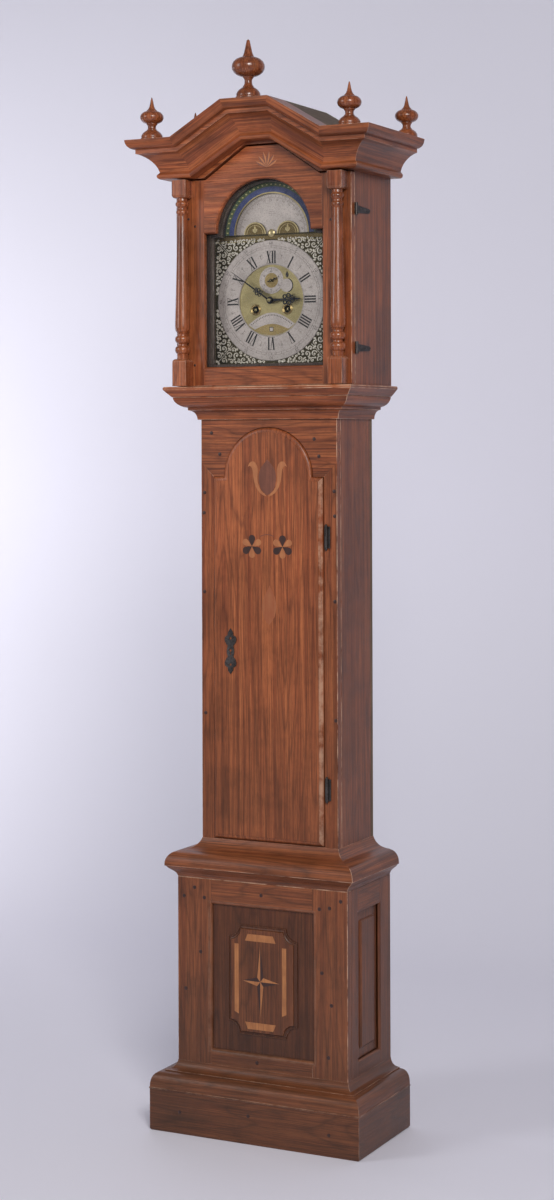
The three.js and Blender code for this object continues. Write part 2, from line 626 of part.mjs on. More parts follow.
function makeHood() {
  const ledge = new THREE.Shape();
  ledge.moveTo(PLAY, LEDGE_Z);
  ledge.lineTo(51.3, LEDGE_Z);
  ledge.lineTo(LEDGE_OUT, HOOD_Z - 7);
  ledge.lineTo(LEDGE_OUT, HOOD_Z - 2);
  ledge.lineTo(LEDGE_OUT - 2, HOOD_Z);
  ledge.lineTo(PLAY, HOOD_Z);
  addNode("hood_base_frame", "oak", moulding(ledge, roundThreeSides(TRUNK_HALF, TRUNK_FRONT)));

  for (const [name, side] of [["hood_side_left", -1], ["hood_side_right", 1]]) {
    const inner = side * (HOOD_HALF - SIDE_T);
    const outer = side * HOOD_HALF;
    addNode(name, "oak", block(
      Math.min(inner, outer), HOOD_DOOR_BACK + GAP, HOOD_Z + GAP,
      Math.max(inner, outer), BACK, EAVES_Z - ROOF_T - GAP,
    ));
  }

  const at = (x, z) => (out, down) => [x(down), CORNICE_FACE - out, z - down];
  const outer = (down) => PITCH_OUTER_X - MITRE * down;
  const inner = (down) => PITCH_INNER_X - MITRE * down;
  const sweep = moulding(corniceProfile(), [
    (out, down) => [-HOOD_HALF - out, BACK, EAVES_Z - down],
    (out, down) => [-HOOD_HALF - out, CORNICE_FACE - out, EAVES_Z - down],
    at((down) => -outer(down), EAVES_Z),
    at((down) => -inner(down), RIDGE_Z),
    at(inner, RIDGE_Z),
    at(outer, EAVES_Z),
    (out, down) => [HOOD_HALF + out, CORNICE_FACE - out, EAVES_Z - down],
    (out, down) => [HOOD_HALF + out, BACK, EAVES_Z - down],
  ]);
  const rail = outline([
    ...pitchedLine(ROOF_T + GAP, HOOD_HALF - GAP),
    ...hoodDoorTop(HOOD_HALF - GAP, DOOR_TOP_DROP),
  ]);
  const frontRail = board(rail, CORNICE_FACE - 2, HOOD_DOOR_BACK);
  addNode("cornice", "oak", join(sweep, frontRail));

  const roof = outline([
    ...pitchedLine(0, HOOD_HALF),
    ...pitchedLine(ROOF_T, HOOD_HALF).reverse(),
  ]);
  addNode("hood_roof", "pine", board(roof, CORNICE_FACE, BACK));

  const maskBack = DIAL_FRONT - 1.8;
  const mask = cut(
    board(rectangle(HOOD_HALF - SIDE_T - GAP, HOOD_Z + GAP, EAVES_Z - 30), maskBack - 11, maskBack),
    board(
      archedOutline(DIAL_SIZE / 2 - 4, dialBottom() + 4, MOON_Z - 4, ARCH_R - 5),
      maskBack - 12,
      maskBack + 1,
    ),
  );
  addNode("dial_mask", "darkWood", mask);
}

function finialProfile(domeR, neckR, bulbR, bulbH, bulbZ, spikeR, tipZ) {
  const profile = [
    [0, 0],
    [domeR, 0],
    [domeR, bulbZ * 0.1],
    [domeR * 0.86, bulbZ * 0.28],
    [neckR * 1.15, bulbZ * 0.44],
    [neckR, bulbZ * 0.56],
  ];
  const steps = 6;
  for (let i = 1; i < steps; i += 1) {
    const a = (Math.PI * i) / steps - Math.PI / 2;
    profile.push([neckR + (bulbR - neckR) * Math.cos(a), bulbZ + (bulbH / 2) * Math.sin(a)]);
  }
  profile.push([spikeR, bulbZ + bulbH / 2]);
  profile.push([spikeR * 0.55, bulbZ + (tipZ - bulbZ) * 0.5]);
  profile.push([spikeR * 0.3, tipZ - 3]);
  profile.push([0, tipZ]);
  return profile;
}

function makeFinials() {
  const corner = turned(finialProfile(26.5, 10, CORNER_BULB_R, 30, 52, 12, 99), 16);
  const centre = turned(finialProfile(29.5, 8.8, CENTRE_BULB_R, 44.6, 72, 13.5, 135), 16);
  const frontY = BACK - CASE_D + FINIAL_INSET;
  const rearY = BACK - CORNER_BULB_R - 1;
  addNode("finial_centre", "oak", centre, 0, frontY, RIDGE_Z + GAP);
  const frontX = HOOD_HALF + 27.2;
  const rearX = HOOD_HALF + 54;
  addNode("finial_front_left", "oak", corner, -frontX, frontY, EAVES_Z + GAP);
  addNode("finial_front_right", "oak", corner, frontX, frontY, EAVES_Z + GAP);
  addNode("finial_rear_left", "oak", corner, -rearX, rearY, EAVES_Z + GAP);
  addNode("finial_rear_right", "oak", corner, rearX, rearY, EAVES_Z + GAP);
}

// ---------------------------------------------------------------- hood door
const HOOD_HINGE_X = HOOD_HALF + HOOD_HINGE_R + 0.3;

function makeHoodDoor() {
  const halfOpening = HOOD_HALF - STILE_W;
  const bottom = HOOD_Z + 1.5;
  const openingZ = bottom + HOOD_RAIL_H;
  const whole = outline([
    [-HOOD_HALF, bottom],
    [HOOD_HALF, bottom],
    ...hoodDoorTop(HOOD_HALF, 0),
  ]);
  const glassFront = HOOD_DOOR_BACK - REBATE + GAP;
  const sight = archedOutline(halfOpening, openingZ, HOOD_SHOULDER_Z, HOOD_ARCH_R);
  const rebate = archedOutline(halfOpening, openingZ, HOOD_SHOULDER_Z, HOOD_ARCH_R, REBATE);
  const frame = cut(
    board(whole, HOOD_DOOR_FRONT, HOOD_DOOR_BACK),
    board(sight, HOOD_DOOR_FRONT - 1, HOOD_DOOR_BACK + 1),
    board(rebate, HOOD_DOOR_BACK - REBATE, HOOD_DOOR_BACK + 1),
  );
  addNode("hood_door_frame", "oak", frame);

  const pane = archedOutline(halfOpening, openingZ, HOOD_SHOULDER_Z, HOOD_ARCH_R, REBATE - 0.6);
  addNode("door_glass", "glass", board(pane, glassFront, glassFront + GLASS_T));

  const columnY = HOOD_DOOR_FRONT - GAP - BLOCK / 2;
  const top = SOFFIT_Z - DOOR_TOP_DROP;
  addNode("column_left", "oak", makeColumn(bottom, top), -BLOCK_X, columnY, 0);
  addNode("column_right", "oak", makeColumn(bottom, top), BLOCK_X, columnY, 0);

  const names = ["hood_hinge_lower", "hood_hinge_upper"];
  HOOD_HINGE_Z.forEach((z, i) => {
    const barrel = barZ(HOOD_HINGE_R, -14, 14, HOOD_HINGE_X, HOOD_DOOR_BACK);
    const strap = outline([
      [HOOD_DOOR_BACK + 1, -12],
      [HOOD_DOOR_BACK + 12, -9],
      [HOOD_DOOR_BACK + STRAP_LEN, -5],
      [HOOD_DOOR_BACK + STRAP_LEN + 5, 0],
      [HOOD_DOOR_BACK + STRAP_LEN, 5],
      [HOOD_DOOR_BACK + 12, 9],
      [HOOD_DOOR_BACK + 1, 12],
    ]);
    const leaf = sideBoard(strap, HOOD_HALF + GAP, HOOD_HALF + GAP + 2.2);
    addNode(names[i], "iron", join(barrel, leaf), 0, 0, z);
  });
}

// A turned column between two square blocks.
function makeColumn(bottom, top) {
  const low = bottom + BLOCK_LOW_H;
  const high = top - BLOCK_TOP_H;
  const half = BLOCK / 2;
  const fat = half - 0.4;
  const shaft = turned([
    [0, low - 2],
    [12.3, low - 2],
    [12.3, low + 6],
    [16, low + 12],
    [fat, low + 20],
    [16, low + 28],
    [10.4, low + 34],
    [16, low + 39],
    [fat, low + 46],
    [16, low + 53],
    [11.9, low + 58],
    [15, low + 62],
    [fat, low + 75],
    [17.2, low + 100],
    [14.6, (low + high) / 2 + 20],
    [11.9, high - 38],
    [14.4, high - 34],
    [14.4, high - 29],
    [11.2, high - 22],
    [16, high - 14],
    [11.9, high - 6],
    [11.9, high + 2],
    [0, high + 2],
  ], 14);
  return join(
    shaft,
    block(-half, -half, bottom, half, half, low),
    block(-half, -half, high, half, half, top),
  );
}

// ---------------------------------------------------------------- dial and hands
function dialBottom() {
  return CENTRE_Z - DIAL_SIZE / 2;
}

function makeDial() {
  const half = DIAL_SIZE / 2;
  const top = dialBottom() + DIAL_SIZE;
  const shape = archedOutline(half, dialBottom(), top, ARCH_R);
  const window = new THREE.Shape();
  window.moveTo(MOON_WINDOW_R, MOON_Z);
  window.absarc(0, MOON_Z, MOON_WINDOW_R, 0, Math.PI, false);
  window.lineTo(-HUMP_X - HUMP_R, MOON_Z);
  window.absarc(-HUMP_X, MOON_Z, HUMP_R, Math.PI, 0, true);
  window.lineTo(HUMP_X - HUMP_R, MOON_Z);
  window.absarc(HUMP_X, MOON_Z, HUMP_R, Math.PI, 0, true);
  const bridgeY = DIAL_BACK + 2.4;
  const feet = FEET.map(([x, up]) => barY(4, DIAL_BACK - 1, FRONT_PLATE - GAP, x, CENTRE_Z + up, 8));
  const plate = join(
    cut(
      board(shape, DIAL_FRONT, DIAL_BACK),
      board(window, DIAL_FRONT - 1, DIAL_BACK + 1, 16),
      barY(6, DIAL_FRONT - 1, DIAL_BACK + 1, 0, CENTRE_Z),
      barY(2.6, DIAL_FRONT - 1, DIAL_BACK + 1, 0, SECONDS_Z),
      barY(8.5, DIAL_FRONT - 1, DIAL_BACK + 1, -WINDING_X, WINDING_Z),
      barY(8.5, DIAL_FRONT - 1, DIAL_BACK + 1, WINDING_X, WINDING_Z),
    ),
    ...feet,
    block(-8, bridgeY, MOON_Z - 8, 8, bridgeY + 2, MOON_Z + ARCH_R - 6),
    block(-8, DIAL_BACK - 1, MOON_Z + MOON_R + 2, 8, bridgeY + 2, MOON_Z + ARCH_R - 6),
    barY(2.5, DIAL_BACK - 1, bridgeY + 1, 0, MOON_Z, 8),
  );
  addNode("dial_plate", "brass", plate);

  const ring = turnedY([
    [RING_INNER_R, -1.5],
    [RING_OUTER_R, -1.5],
    [RING_OUTER_R, 0],
    [RING_INNER_R, 0],
    [RING_INNER_R, -1.5],
  ], 48);
  addNode("chapter_ring", "silvered", ring, 0, DIAL_FRONT - GAP, CENTRE_Z);

  const moon = cut(
    barY(MOON_R, DIAL_BACK + GAP, DIAL_BACK + 1.8, 0, 0, 48),
    barY(3, DIAL_BACK - 1, DIAL_BACK + 3, 0, 0, 8),
  );
  addNode("moon_disc", "silvered", moon, 0, 0, MOON_Z);
}

// A hand that points up, with a pierced part near its middle: radii and lengths from its hub.
function makeHand(hubR, boreR, length, scrollAt, scrollR, width, frontY, thickness) {
  const backY = frontY + thickness;
  const stem = outline([
    [-width, 0],
    [-width * 0.6, length * 0.8],
    [0, length],
    [width * 0.6, length * 0.8],
    [width, 0],
  ]);
  const scrolls = [-1, 1].map((side) => cut(
    barY(scrollR, frontY, backY, side * scrollR * 0.9, scrollAt, 12),
    barY(scrollR * 0.5, frontY - 1, backY + 1, side * scrollR * 0.9, scrollAt, 8),
  ));
  return cut(
    join(board(stem, frontY, backY), barY(hubR, frontY, backY, 0, 0, 14), ...scrolls),
    barY(boreR, frontY - 1, backY + 1, 0, 0, 12),
  );
}

// Turns a solid clockwise, seen from the front, about its own Y axis.
const clockwise = (made, degrees) => made.rotate([0, degrees, 0]);

const HOUR_HAND_Y = DIAL_FRONT - 9.5;
const MINUTE_HAND_Y = DIAL_FRONT - 14.5;
const SECONDS_HAND_Y = DIAL_FRONT - 5;
const PIPE_R = 4.5;
const ARBOR_R = 2.2;

function makeHands() {
  const hour = makeHand(8.5, PIPE_R + GAP, HOUR_HAND_LEN, 44, 8.5, 3, HOUR_HAND_Y, 1.5);
  addNode("hour_hand", "steel", clockwise(hour, 88.5), 0, 0, CENTRE_Z);
  const minute = makeHand(6.5, ARBOR_R + GAP, MINUTE_HAND_LEN, 40, 5, 2.4, MINUTE_HAND_Y, 1.5);
  addNode("minute_hand", "steel", clockwise(minute, 304.8), 0, 0, CENTRE_Z);
  const seconds = makeHand(3.4, 1.5, 25, 9, 1.6, 0.9, SECONDS_HAND_Y, 1);
  addNode("seconds_hand", "steel", clockwise(seconds, 70), 0, 0, SECONDS_Z);
}

// ---------------------------------------------------------------- wheels
// A toothed disc seen from the front. A tooth is centred on the direction "phase", anticlockwise from +X.
function gearShape(teeth, module, phase, boreR, addendum = 0.95, dedendum = 1.45) {
  const pitchR = (teeth * module) / 2;
  const tipR = pitchR + addendum * module;
  const rootR = pitchR - dedendum * module;
  const step = (2 * Math.PI) / teeth;
  const points = [];
  for (let i = 0; i < teeth; i += 1) {
    const a = phase + i * step;
    points.push([tipR * Math.cos(a), tipR * Math.sin(a)]);
    points.push([rootR * Math.cos(a + step / 2), rootR * Math.sin(a + step / 2)]);
  }
  const shape = outline(points);
  if (boreR) {
    const bore = new THREE.Path();
    bore.absarc(0, 0, boreR, 0, Math.PI * 2, true);
    shape.holes.push(bore);
  }
  return shape;
}

const gear = (teeth, module, phase, frontY, thickness, boreR) =>
  board(gearShape(teeth, module, phase, boreR), frontY, frontY + thickness, 4);

// Where one arbor lies as seen from another: the direction a meshing tooth points.
const towards = (from, to) => Math.atan2(to[1] - from[1], to[0] - from[0]);
// The phase that puts a gap between teeth on a direction.
const gapAt = (teeth, direction) => direction + Math.PI / teeth;

const CENTRE = [0, CENTRE_Z];
const ESCAPE = [0, SECONDS_Z];
const GOING = [WINDING_X, WINDING_Z];
const STRIKE = [-WINDING_X, WINDING_Z];
const GREAT_TEETH = 96;
const CENTRE_PINION = 8;
const GREAT_MODULE =
  (2 * Math.hypot(WINDING_X, WINDING_DROP)) / (GREAT_TEETH + CENTRE_PINION);
const CENTRE_TEETH = 60;
const THIRD_PINION = 8;
const CENTRE_MODULE = 0.95;
const THIRD_TEETH = 56;
const ESCAPE_PINION = 7;
const THIRD_MODULE = 0.9;
const THIRD = thirdArbor();
const CANNON_TEETH = 40;
const CANNON_MODULE = 0.78;
const MINUTE_PINION = 6;
const HOUR_TEETH = 72;
const HOUR_MODULE = (CANNON_MODULE * 2 * CANNON_TEETH) / (MINUTE_PINION + HOUR_TEETH);
const MINUTE = [0, CENTRE_Z - CANNON_MODULE * CANNON_TEETH];
const STRIKE_TEETH = 84;
const STRIKE_MODULE = 0.86;
const ESCAPE_TEETH = 30;
const ESCAPE_R = 22;

// The third arbor: a wheel-and-pinion distance from both the centre and the escape arbor.
function thirdArbor() {
  const a = (CENTRE_MODULE * (CENTRE_TEETH + THIRD_PINION)) / 2;
  const b = (THIRD_MODULE * (THIRD_TEETH + ESCAPE_PINION)) / 2;
  const up = (SECONDS_RISE ** 2 + a ** 2 - b ** 2) / (2 * SECONDS_RISE);
  return [Math.sqrt(a ** 2 - up ** 2), CENTRE_Z + up];
}

const GREAT_Y = BACK_PLATE - 7;
const CENTRE_WHEEL_Y = INSIDE + 3;
const THIRD_WHEEL_Y = INSIDE + 17;
const ESCAPE_WHEEL_Y = INSIDE + 35;
const CANNON_Y = FRONT_PLATE - 8;
const HOUR_WHEEL_Y = FRONT_PLATE - 15;
const WHEEL_T = 2.5;
const ARBOR_BACK = BEHIND + 1;
const HAMMER_PIVOT = [-60, PLATE_TOP_Z - 49];
const BELL_Y = INSIDE + 30;
const BELL_MOUTH_Z = PLATE_TOP_Z + 16;
const BELL_R = 48;
const BELL_H = 40;

function makeTrain() {
  const centre = join(
    barY(ARBOR_R, MINUTE_HAND_Y - 1.5, ARBOR_BACK, 0, 0, 10),
    gear(CENTRE_PINION, GREAT_MODULE, gapAt(CENTRE_PINION, towards(CENTRE, GOING)), GREAT_Y - 1, 5),
    gear(CENTRE_TEETH, CENTRE_MODULE, towards(CENTRE, THIRD), CENTRE_WHEEL_Y, WHEEL_T),
    gear(CANNON_TEETH, CANNON_MODULE, towards(CENTRE, MINUTE), CANNON_Y, WHEEL_T),
  );
  addNode("centre_arbor", "brass", centre, 0, 0, CENTRE_Z);

  const third = join(
    barY(1.2, FRONT_PLATE - 1, ARBOR_BACK, 0, 0, 8),
    gear(THIRD_PINION, CENTRE_MODULE, gapAt(THIRD_PINION, towards(THIRD, CENTRE)), CENTRE_WHEEL_Y - 1, 5),
    gear(THIRD_TEETH, THIRD_MODULE, towards(THIRD, ESCAPE), THIRD_WHEEL_Y, WHEEL_T),
  );
  addNode("third_wheel", "brass", third, THIRD[0], 0, THIRD[1]);

  const escape = join(
    barY(1.2, SECONDS_HAND_Y - 1, ARBOR_BACK, 0, 0, 8),
    gear(ESCAPE_PINION, THIRD_MODULE, gapAt(ESCAPE_PINION, towards(ESCAPE, THIRD)), THIRD_WHEEL_Y - 1, 5),
    board(escapeShape(), ESCAPE_WHEEL_Y, ESCAPE_WHEEL_Y + 2),
  );
  addNode("escape_wheel", "brass", escape, 0, 0, SECONDS_Z);

  const minuteWheel = cut(
    join(
      gear(CANNON_TEETH, CANNON_MODULE, gapAt(CANNON_TEETH, Math.PI / 2), CANNON_Y, WHEEL_T),
      board(
        gearShape(MINUTE_PINION, HOUR_MODULE, gapAt(MINUTE_PINION, Math.PI / 2), 0, 0.8, 0.9),
        HOUR_WHEEL_Y - 1,
        CANNON_Y + 1,
      ),
    ),
    barY(1, HOUR_WHEEL_Y - 2, CANNON_Y + 4, 0, 0, 8),
  );
  addNode("minute_wheel", "brass", minuteWheel, MINUTE[0], 0, MINUTE[1]);

  const hourWheel = cut(
    join(
      board(
        gearShape(HOUR_TEETH, HOUR_MODULE, towards(CENTRE, MINUTE), 0, 0.85),
        HOUR_WHEEL_Y,
        HOUR_WHEEL_Y + WHEEL_T,
      ),
      barY(PIPE_R, HOUR_HAND_Y - 1, HOUR_WHEEL_Y + 1, 0, 0, 12),
    ),
    barY(ARBOR_R + 0.6, HOUR_HAND_Y - 2, HOUR_WHEEL_Y + 4, 0, 0, 12),
  );
  addNode("hour_wheel", "brass", hourWheel, 0, 0, CENTRE_Z);

  const greatWheels = [
    ["going_great_wheel", GREAT_TEETH, GREAT_MODULE, GOING, towards(GOING, CENTRE)],
    ["strike_great_wheel", STRIKE_TEETH, STRIKE_MODULE, STRIKE, 0],
  ];
  for (const [name, teeth, module, [x, z], phase] of greatWheels)
    addNode(name, "brass", gear(teeth, module, phase, GREAT_Y, WHEEL_T, 5.6), x, 0, z);

  for (const [name, [x, z]] of [["going_barrel", GOING], ["strike_barrel", STRIKE]])
    addNode(name, "brass", makeBarrel(), x, 0, z);
}

// A pointed wheel whose teeth lean forward.
function escapeShape() {
  const step = (2 * Math.PI) / ESCAPE_TEETH;
  const points = [];
  for (let i = 0; i < ESCAPE_TEETH; i += 1) {
    const a = i * step;
    points.push([ESCAPE_R * Math.cos(a), ESCAPE_R * Math.sin(a)]);
    points.push([(ESCAPE_R - 4) * Math.cos(a + step * 0.25), (ESCAPE_R - 4) * Math.sin(a + step * 0.25)]);
  }
  return outline(points);
}

// A barrel between the plates, with the squared end that the key turns.
function makeBarrel() {
  const front = INSIDE + 8;
  const back = GREAT_Y - 3;
  const end = DIAL_FRONT - 2;
  return join(
    barY(BARREL_R, front, back, 0, 0, 20),
    barY(BARREL_R + 2.5, front, front + 1.5, 0, 0, 20),
    barY(BARREL_R + 2.5, back - 1.5, back, 0, 0, 20),
    barY(5, FRONT_PLATE - 4, ARBOR_BACK, 0, 0, 10),
    block(-2.8, end, -2.8, 2.8, FRONT_PLATE, 2.8),
  );
}

// ---------------------------------------------------------------- plates, anchor, pendulum, bell
function makePlates() {
  const bottom = SEAT_TOP_Z + GAP;
  const shape = rectangle(PLATE_HALF_W, bottom, PLATE_TOP_Z);
  const pivots = [
    [CENTRE, ARBOR_R + 0.4],
    [THIRD, 1.6],
    [ESCAPE, 1.6],
    [GOING, 5.4],
    [STRIKE, 5.4],
    [[0, ANCHOR_Z], 2],
    [HAMMER_PIVOT, 2],
  ];
  const holes = (y0, y1) => pivots.map(([[x, z], r]) => barY(r, y0, y1, x, z, 10));
  const stud = barY(0.7, HOUR_WHEEL_Y - 1.5, FRONT_PLATE + 1, MINUTE[0], MINUTE[1], 8);
  const front = join(
    cut(board(shape, FRONT_PLATE, INSIDE), ...holes(FRONT_PLATE - 1, INSIDE + 1)),
    stud,
  );
  addNode("front_plate", "brass", front);

  const pillarX = PLATE_HALF_W - 9;
  const pillars = [
    [-pillarX, bottom + 9],
    [pillarX, bottom + 9],
    [-pillarX, PLATE_TOP_Z - 9],
    [pillarX, PLATE_TOP_Z - 9],
    [0, bottom + 8],
  ].map(([x, z]) => barY(4.5, INSIDE + GAP, BACK_PLATE + 1, x, z, 10));
  const armZ = BELL_MOUTH_Z + BELL_H + GAP;
  const standardY = BELL_Y + BELL_R + 5;
  const bellStandard = join(
    block(-6, BACK_PLATE + 1, PLATE_TOP_Z - 8, 6, standardY + 4, PLATE_TOP_Z - 2),
    block(-6, standardY, PLATE_TOP_Z - 8, 6, standardY + 4, armZ + 5),
    block(-6, BELL_Y - 6, armZ, 6, standardY + 4, armZ + 5),
  );
  const cockZ = ANCHOR_Z + 6;
  const cock = join(
    block(-9, BACK_PLATE + 1, cockZ, 9, ROD_Y + 5, cockZ + 6),
    block(-9, ROD_Y - 5, ANCHOR_Z + 3, 9, ROD_Y + 5, cockZ + 1),
  );
  const back = join(
    cut(board(shape, BACK_PLATE, BEHIND), ...holes(BACK_PLATE - 1, BEHIND + 1)),
    ...pillars,
    bellStandard,
    cock,
  );
  addNode("back_plate", "brass", back);

  const bell = turned([
    [0, BELL_H],
    [BELL_R * 0.5, BELL_H - 3],
    [BELL_R * 0.78, BELL_H * 0.7],
    [BELL_R * 0.88, BELL_H * 0.35],
    [BELL_R, 0],
    [BELL_R - 3, 0],
    [BELL_R * 0.88 - 3, BELL_H * 0.35],
    [BELL_R * 0.78 - 3, BELL_H * 0.66],
    [BELL_R * 0.5 - 2, BELL_H - 6.5],
    [0, BELL_H - 4],
  ], 24);
  addNode("bell", "brass", bell, 0, BELL_Y, BELL_MOUTH_Z);

  const headZ = BELL_MOUTH_Z + 5;
  const [hx, hz] = HAMMER_PIVOT;
  const lean = outline([
    [hx - 2, hz],
    [hx + 2, hz],
    [-BELL_R - 9, headZ],
    [-BELL_R - 13, headZ],
  ]);
  const hammer = join(
    barY(1.6, FRONT_PLATE - 1, ARBOR_BACK, hx, hz, 8),
    board(lean, BELL_Y - 1.5, BELL_Y + 1.5),
    block(-BELL_R - 18, BELL_Y - 5, headZ - 5, -BELL_R - 2, BELL_Y + 5, headZ + 5),
  );
  addNode("hammer", "steel", hammer);
}

// The anchor: arms over the escape wheel, and the crutch that the pendulum swings.
function makeAnchor() {
  const y0 = ESCAPE_WHEEL_Y - 1;
  const y1 = ESCAPE_WHEEL_Y + 3;
  const reach = ESCAPE_R * 0.82;
  const drop = -ANCHOR_RISE + ESCAPE_R * 0.82;
  const arms = [-1, 1].map((side) => {
    const arm = new THREE.Shape();
    arm.moveTo(0, 3);
    arm.quadraticCurveTo(side * 16, 2, side * (reach + 4), drop + 2);
    arm.lineTo(side * (reach + 1), drop - 1);
    arm.quadraticCurveTo(side * 12, -6, 0, -4);
    return board(arm, y0, y1, 6);
  });
  const crutchY = BEHIND + 6;
  const forkZ = -110;
  const anchor = join(
    barY(1.6, FRONT_PLATE - 1, crutchY + 3, 0, 0, 8),
    ...arms,
    block(-2.5, crutchY, forkZ, 2.5, crutchY + 3, 2),
    block(-6.5, crutchY, forkZ - 4, 6.5, crutchY + 3, forkZ + 4),
    block(-6.5, crutchY, forkZ - 2, -ROD_R - 0.4, ROD_Y + 4, forkZ + 2),
    block(ROD_R + 0.4, crutchY, forkZ - 2, 6.5, ROD_Y + 4, forkZ + 2),
  );
  addNode("anchor", "steel", anchor, 0, 0, ANCHOR_Z);
}

function makePendulum() {
  const nutZ = -PENDULUM_LEN - BOB_R - 9;
  const rod = join(
    barZ(ROD_R, nutZ - 14, 2, 0, 0, 8),
    barZ(8, nutZ, nutZ + 8, 0, 0, 12),
  );
  addNode("pendulum_rod", "steel", rod, 0, ROD_Y, ANCHOR_Z);
  const lens = turnedY([
    [0, -BOB_T / 2],
    [BOB_R * 0.45, -BOB_T * 0.44],
    [BOB_R * 0.8, -BOB_T * 0.27],
    [BOB_R, -2],
    [BOB_R, 2],
    [BOB_R * 0.8, BOB_T * 0.27],
    [BOB_R * 0.45, BOB_T * 0.44],
    [0, BOB_T / 2],
  ], 28);
  const bore = barZ(ROD_R + GAP, -BOB_R - 5, BOB_R + 5, 0, 0, 8);
  addNode("pendulum_bob", "brass", cut(lens, bore), 0, ROD_Y, BOB_Z);
}

// ---------------------------------------------------------------- weights and their lines
function makeWeights() {
  for (const [name, windingX] of WEIGHT_SIDES) {
    const pulley = turnedY([
      [0, -4],
      [PULLEY_R + 2.5, -4],
      [PULLEY_R, -1.4],
      [PULLEY_R, 1.4],
      [PULLEY_R + 2.5, 4],
      [0, 4],
    ], 20);
    const stirrup = join(
      block(-4, -6.5, -36, 4, -5, 6),
      block(-4, 5, -36, 4, 6.5, 6),
      block(-4, -6.5, -39, 4, 6.5, -35),
      barY(2, -6, 6, 0, 0, 8),
      barZ(3, -52, -38, 0, 0, 8),
    );
    const top = -50;
    const can = turned([
      [0, top - WEIGHT_LEN],
      [WEIGHT_R - 3, top - WEIGHT_LEN],
      [WEIGHT_R, top - WEIGHT_LEN + 3],
      [WEIGHT_R, top - 4],
      [WEIGHT_R - 6, top],
      [0, top],
    ], 20);
    const x = windingX - LINE_WIND_R + LINE_TURN_R;
    addNode(`${name}_weight`, "lead", join(pulley, stirrup, can), x, LINE_Y, PULLEY_REST_Z);
    const line = makeLine(LINE_TURN_R, SEAT_TOP_Z - PULLEY_REST_Z);
    addNode(`${name}_line`, "gut", line, x, LINE_Y, PULLEY_REST_Z);
  }
}

// A cord that hangs in two strands and turns under a pulley.
function makeLine(strand, length) {
  const section = new THREE.Shape();
  section.absarc(0, 0, LINE_R, 0, Math.PI * 2, false);
  const turnSteps = 10;
  const points = [[-strand, length]];
  for (let i = 0; i <= turnSteps; i += 1) {
    const a = Math.PI + (Math.PI * i) / turnSteps;
    points.push([strand * Math.cos(a), strand * Math.sin(a)]);
  }
  points.push([strand, length]);
  const last = points.length - 1;
  const stations = points.map(([x, z], i) => {
    const [ax, az] = points[Math.max(i - 1, 0)];
    const [bx, bz] = points[Math.min(i + 1, last)];
    const along = Math.hypot(bx - ax, bz - az);
    const side = [-(bz - az) / along, (bx - ax) / along];
    return (u, v) => [x + u * side[0], v, z + u * side[1]];
  });
  return moulding(section, stations, 2);
}

makeBase();
makeTrunk();
makeTrunkDoor();
makeHood();
makeFinials();
makeHoodDoor();
makeDial();
makeHands();
makeTrain();
makePlates();
makeAnchor();
makePendulum();
makeWeights();

export default clock;
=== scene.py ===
"""A grandfather clock: its finished pieces, built over the solids of the packed model."""
import json
import random
from math import acos, atan2, cos, degrees, hypot, pi, radians, sin, sqrt

import bmesh
import bpy
from mathutils import Matrix, Vector
from mathutils.geometry import interpolate_bezier
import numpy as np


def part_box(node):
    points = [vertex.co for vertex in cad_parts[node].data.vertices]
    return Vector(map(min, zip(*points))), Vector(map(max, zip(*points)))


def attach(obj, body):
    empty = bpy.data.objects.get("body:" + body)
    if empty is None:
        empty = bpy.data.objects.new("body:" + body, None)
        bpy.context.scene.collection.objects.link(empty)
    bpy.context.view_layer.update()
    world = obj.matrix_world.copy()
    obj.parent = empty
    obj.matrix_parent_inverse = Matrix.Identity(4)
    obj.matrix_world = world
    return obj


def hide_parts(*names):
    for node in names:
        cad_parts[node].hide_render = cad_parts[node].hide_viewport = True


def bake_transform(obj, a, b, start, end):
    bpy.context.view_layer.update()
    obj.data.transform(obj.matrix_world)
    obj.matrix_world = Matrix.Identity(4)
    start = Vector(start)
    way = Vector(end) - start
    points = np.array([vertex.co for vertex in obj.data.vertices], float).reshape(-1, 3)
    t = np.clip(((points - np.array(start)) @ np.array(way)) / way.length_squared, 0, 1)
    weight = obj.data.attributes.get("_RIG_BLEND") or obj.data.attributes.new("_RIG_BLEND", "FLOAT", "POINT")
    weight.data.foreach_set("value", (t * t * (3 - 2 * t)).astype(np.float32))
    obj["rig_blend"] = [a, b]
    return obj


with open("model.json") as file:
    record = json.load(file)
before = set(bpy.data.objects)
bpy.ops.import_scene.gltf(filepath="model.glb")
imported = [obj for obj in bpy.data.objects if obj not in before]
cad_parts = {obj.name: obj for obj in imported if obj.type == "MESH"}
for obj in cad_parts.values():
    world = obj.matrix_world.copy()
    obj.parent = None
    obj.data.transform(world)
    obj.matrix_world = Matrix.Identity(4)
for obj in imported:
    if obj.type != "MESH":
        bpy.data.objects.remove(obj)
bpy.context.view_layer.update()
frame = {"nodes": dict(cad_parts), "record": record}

bl_info = {
    "name": "Grandfather clock",
    "version": (1, 0, 0),
    "blender": (4, 5, 0),
    "location": "View3D > Sidebar > Clock",
    "description": "Builds the finished pieces of a tall case clock",
    "category": "Add Mesh",
}

MM = 0.001
TOUCHING = 0.1 * MM  # coordinates closer than this lie in one plane
# The trunk door and its opening: half the width, the foot, the shoulder and the arch's radius.
DOOR_HALF, DOOR_FOOT, DOOR_SHOULDER, DOOR_ARCH = 144.3 * MM, 683 * MM, 1537 * MM, 116 * MM
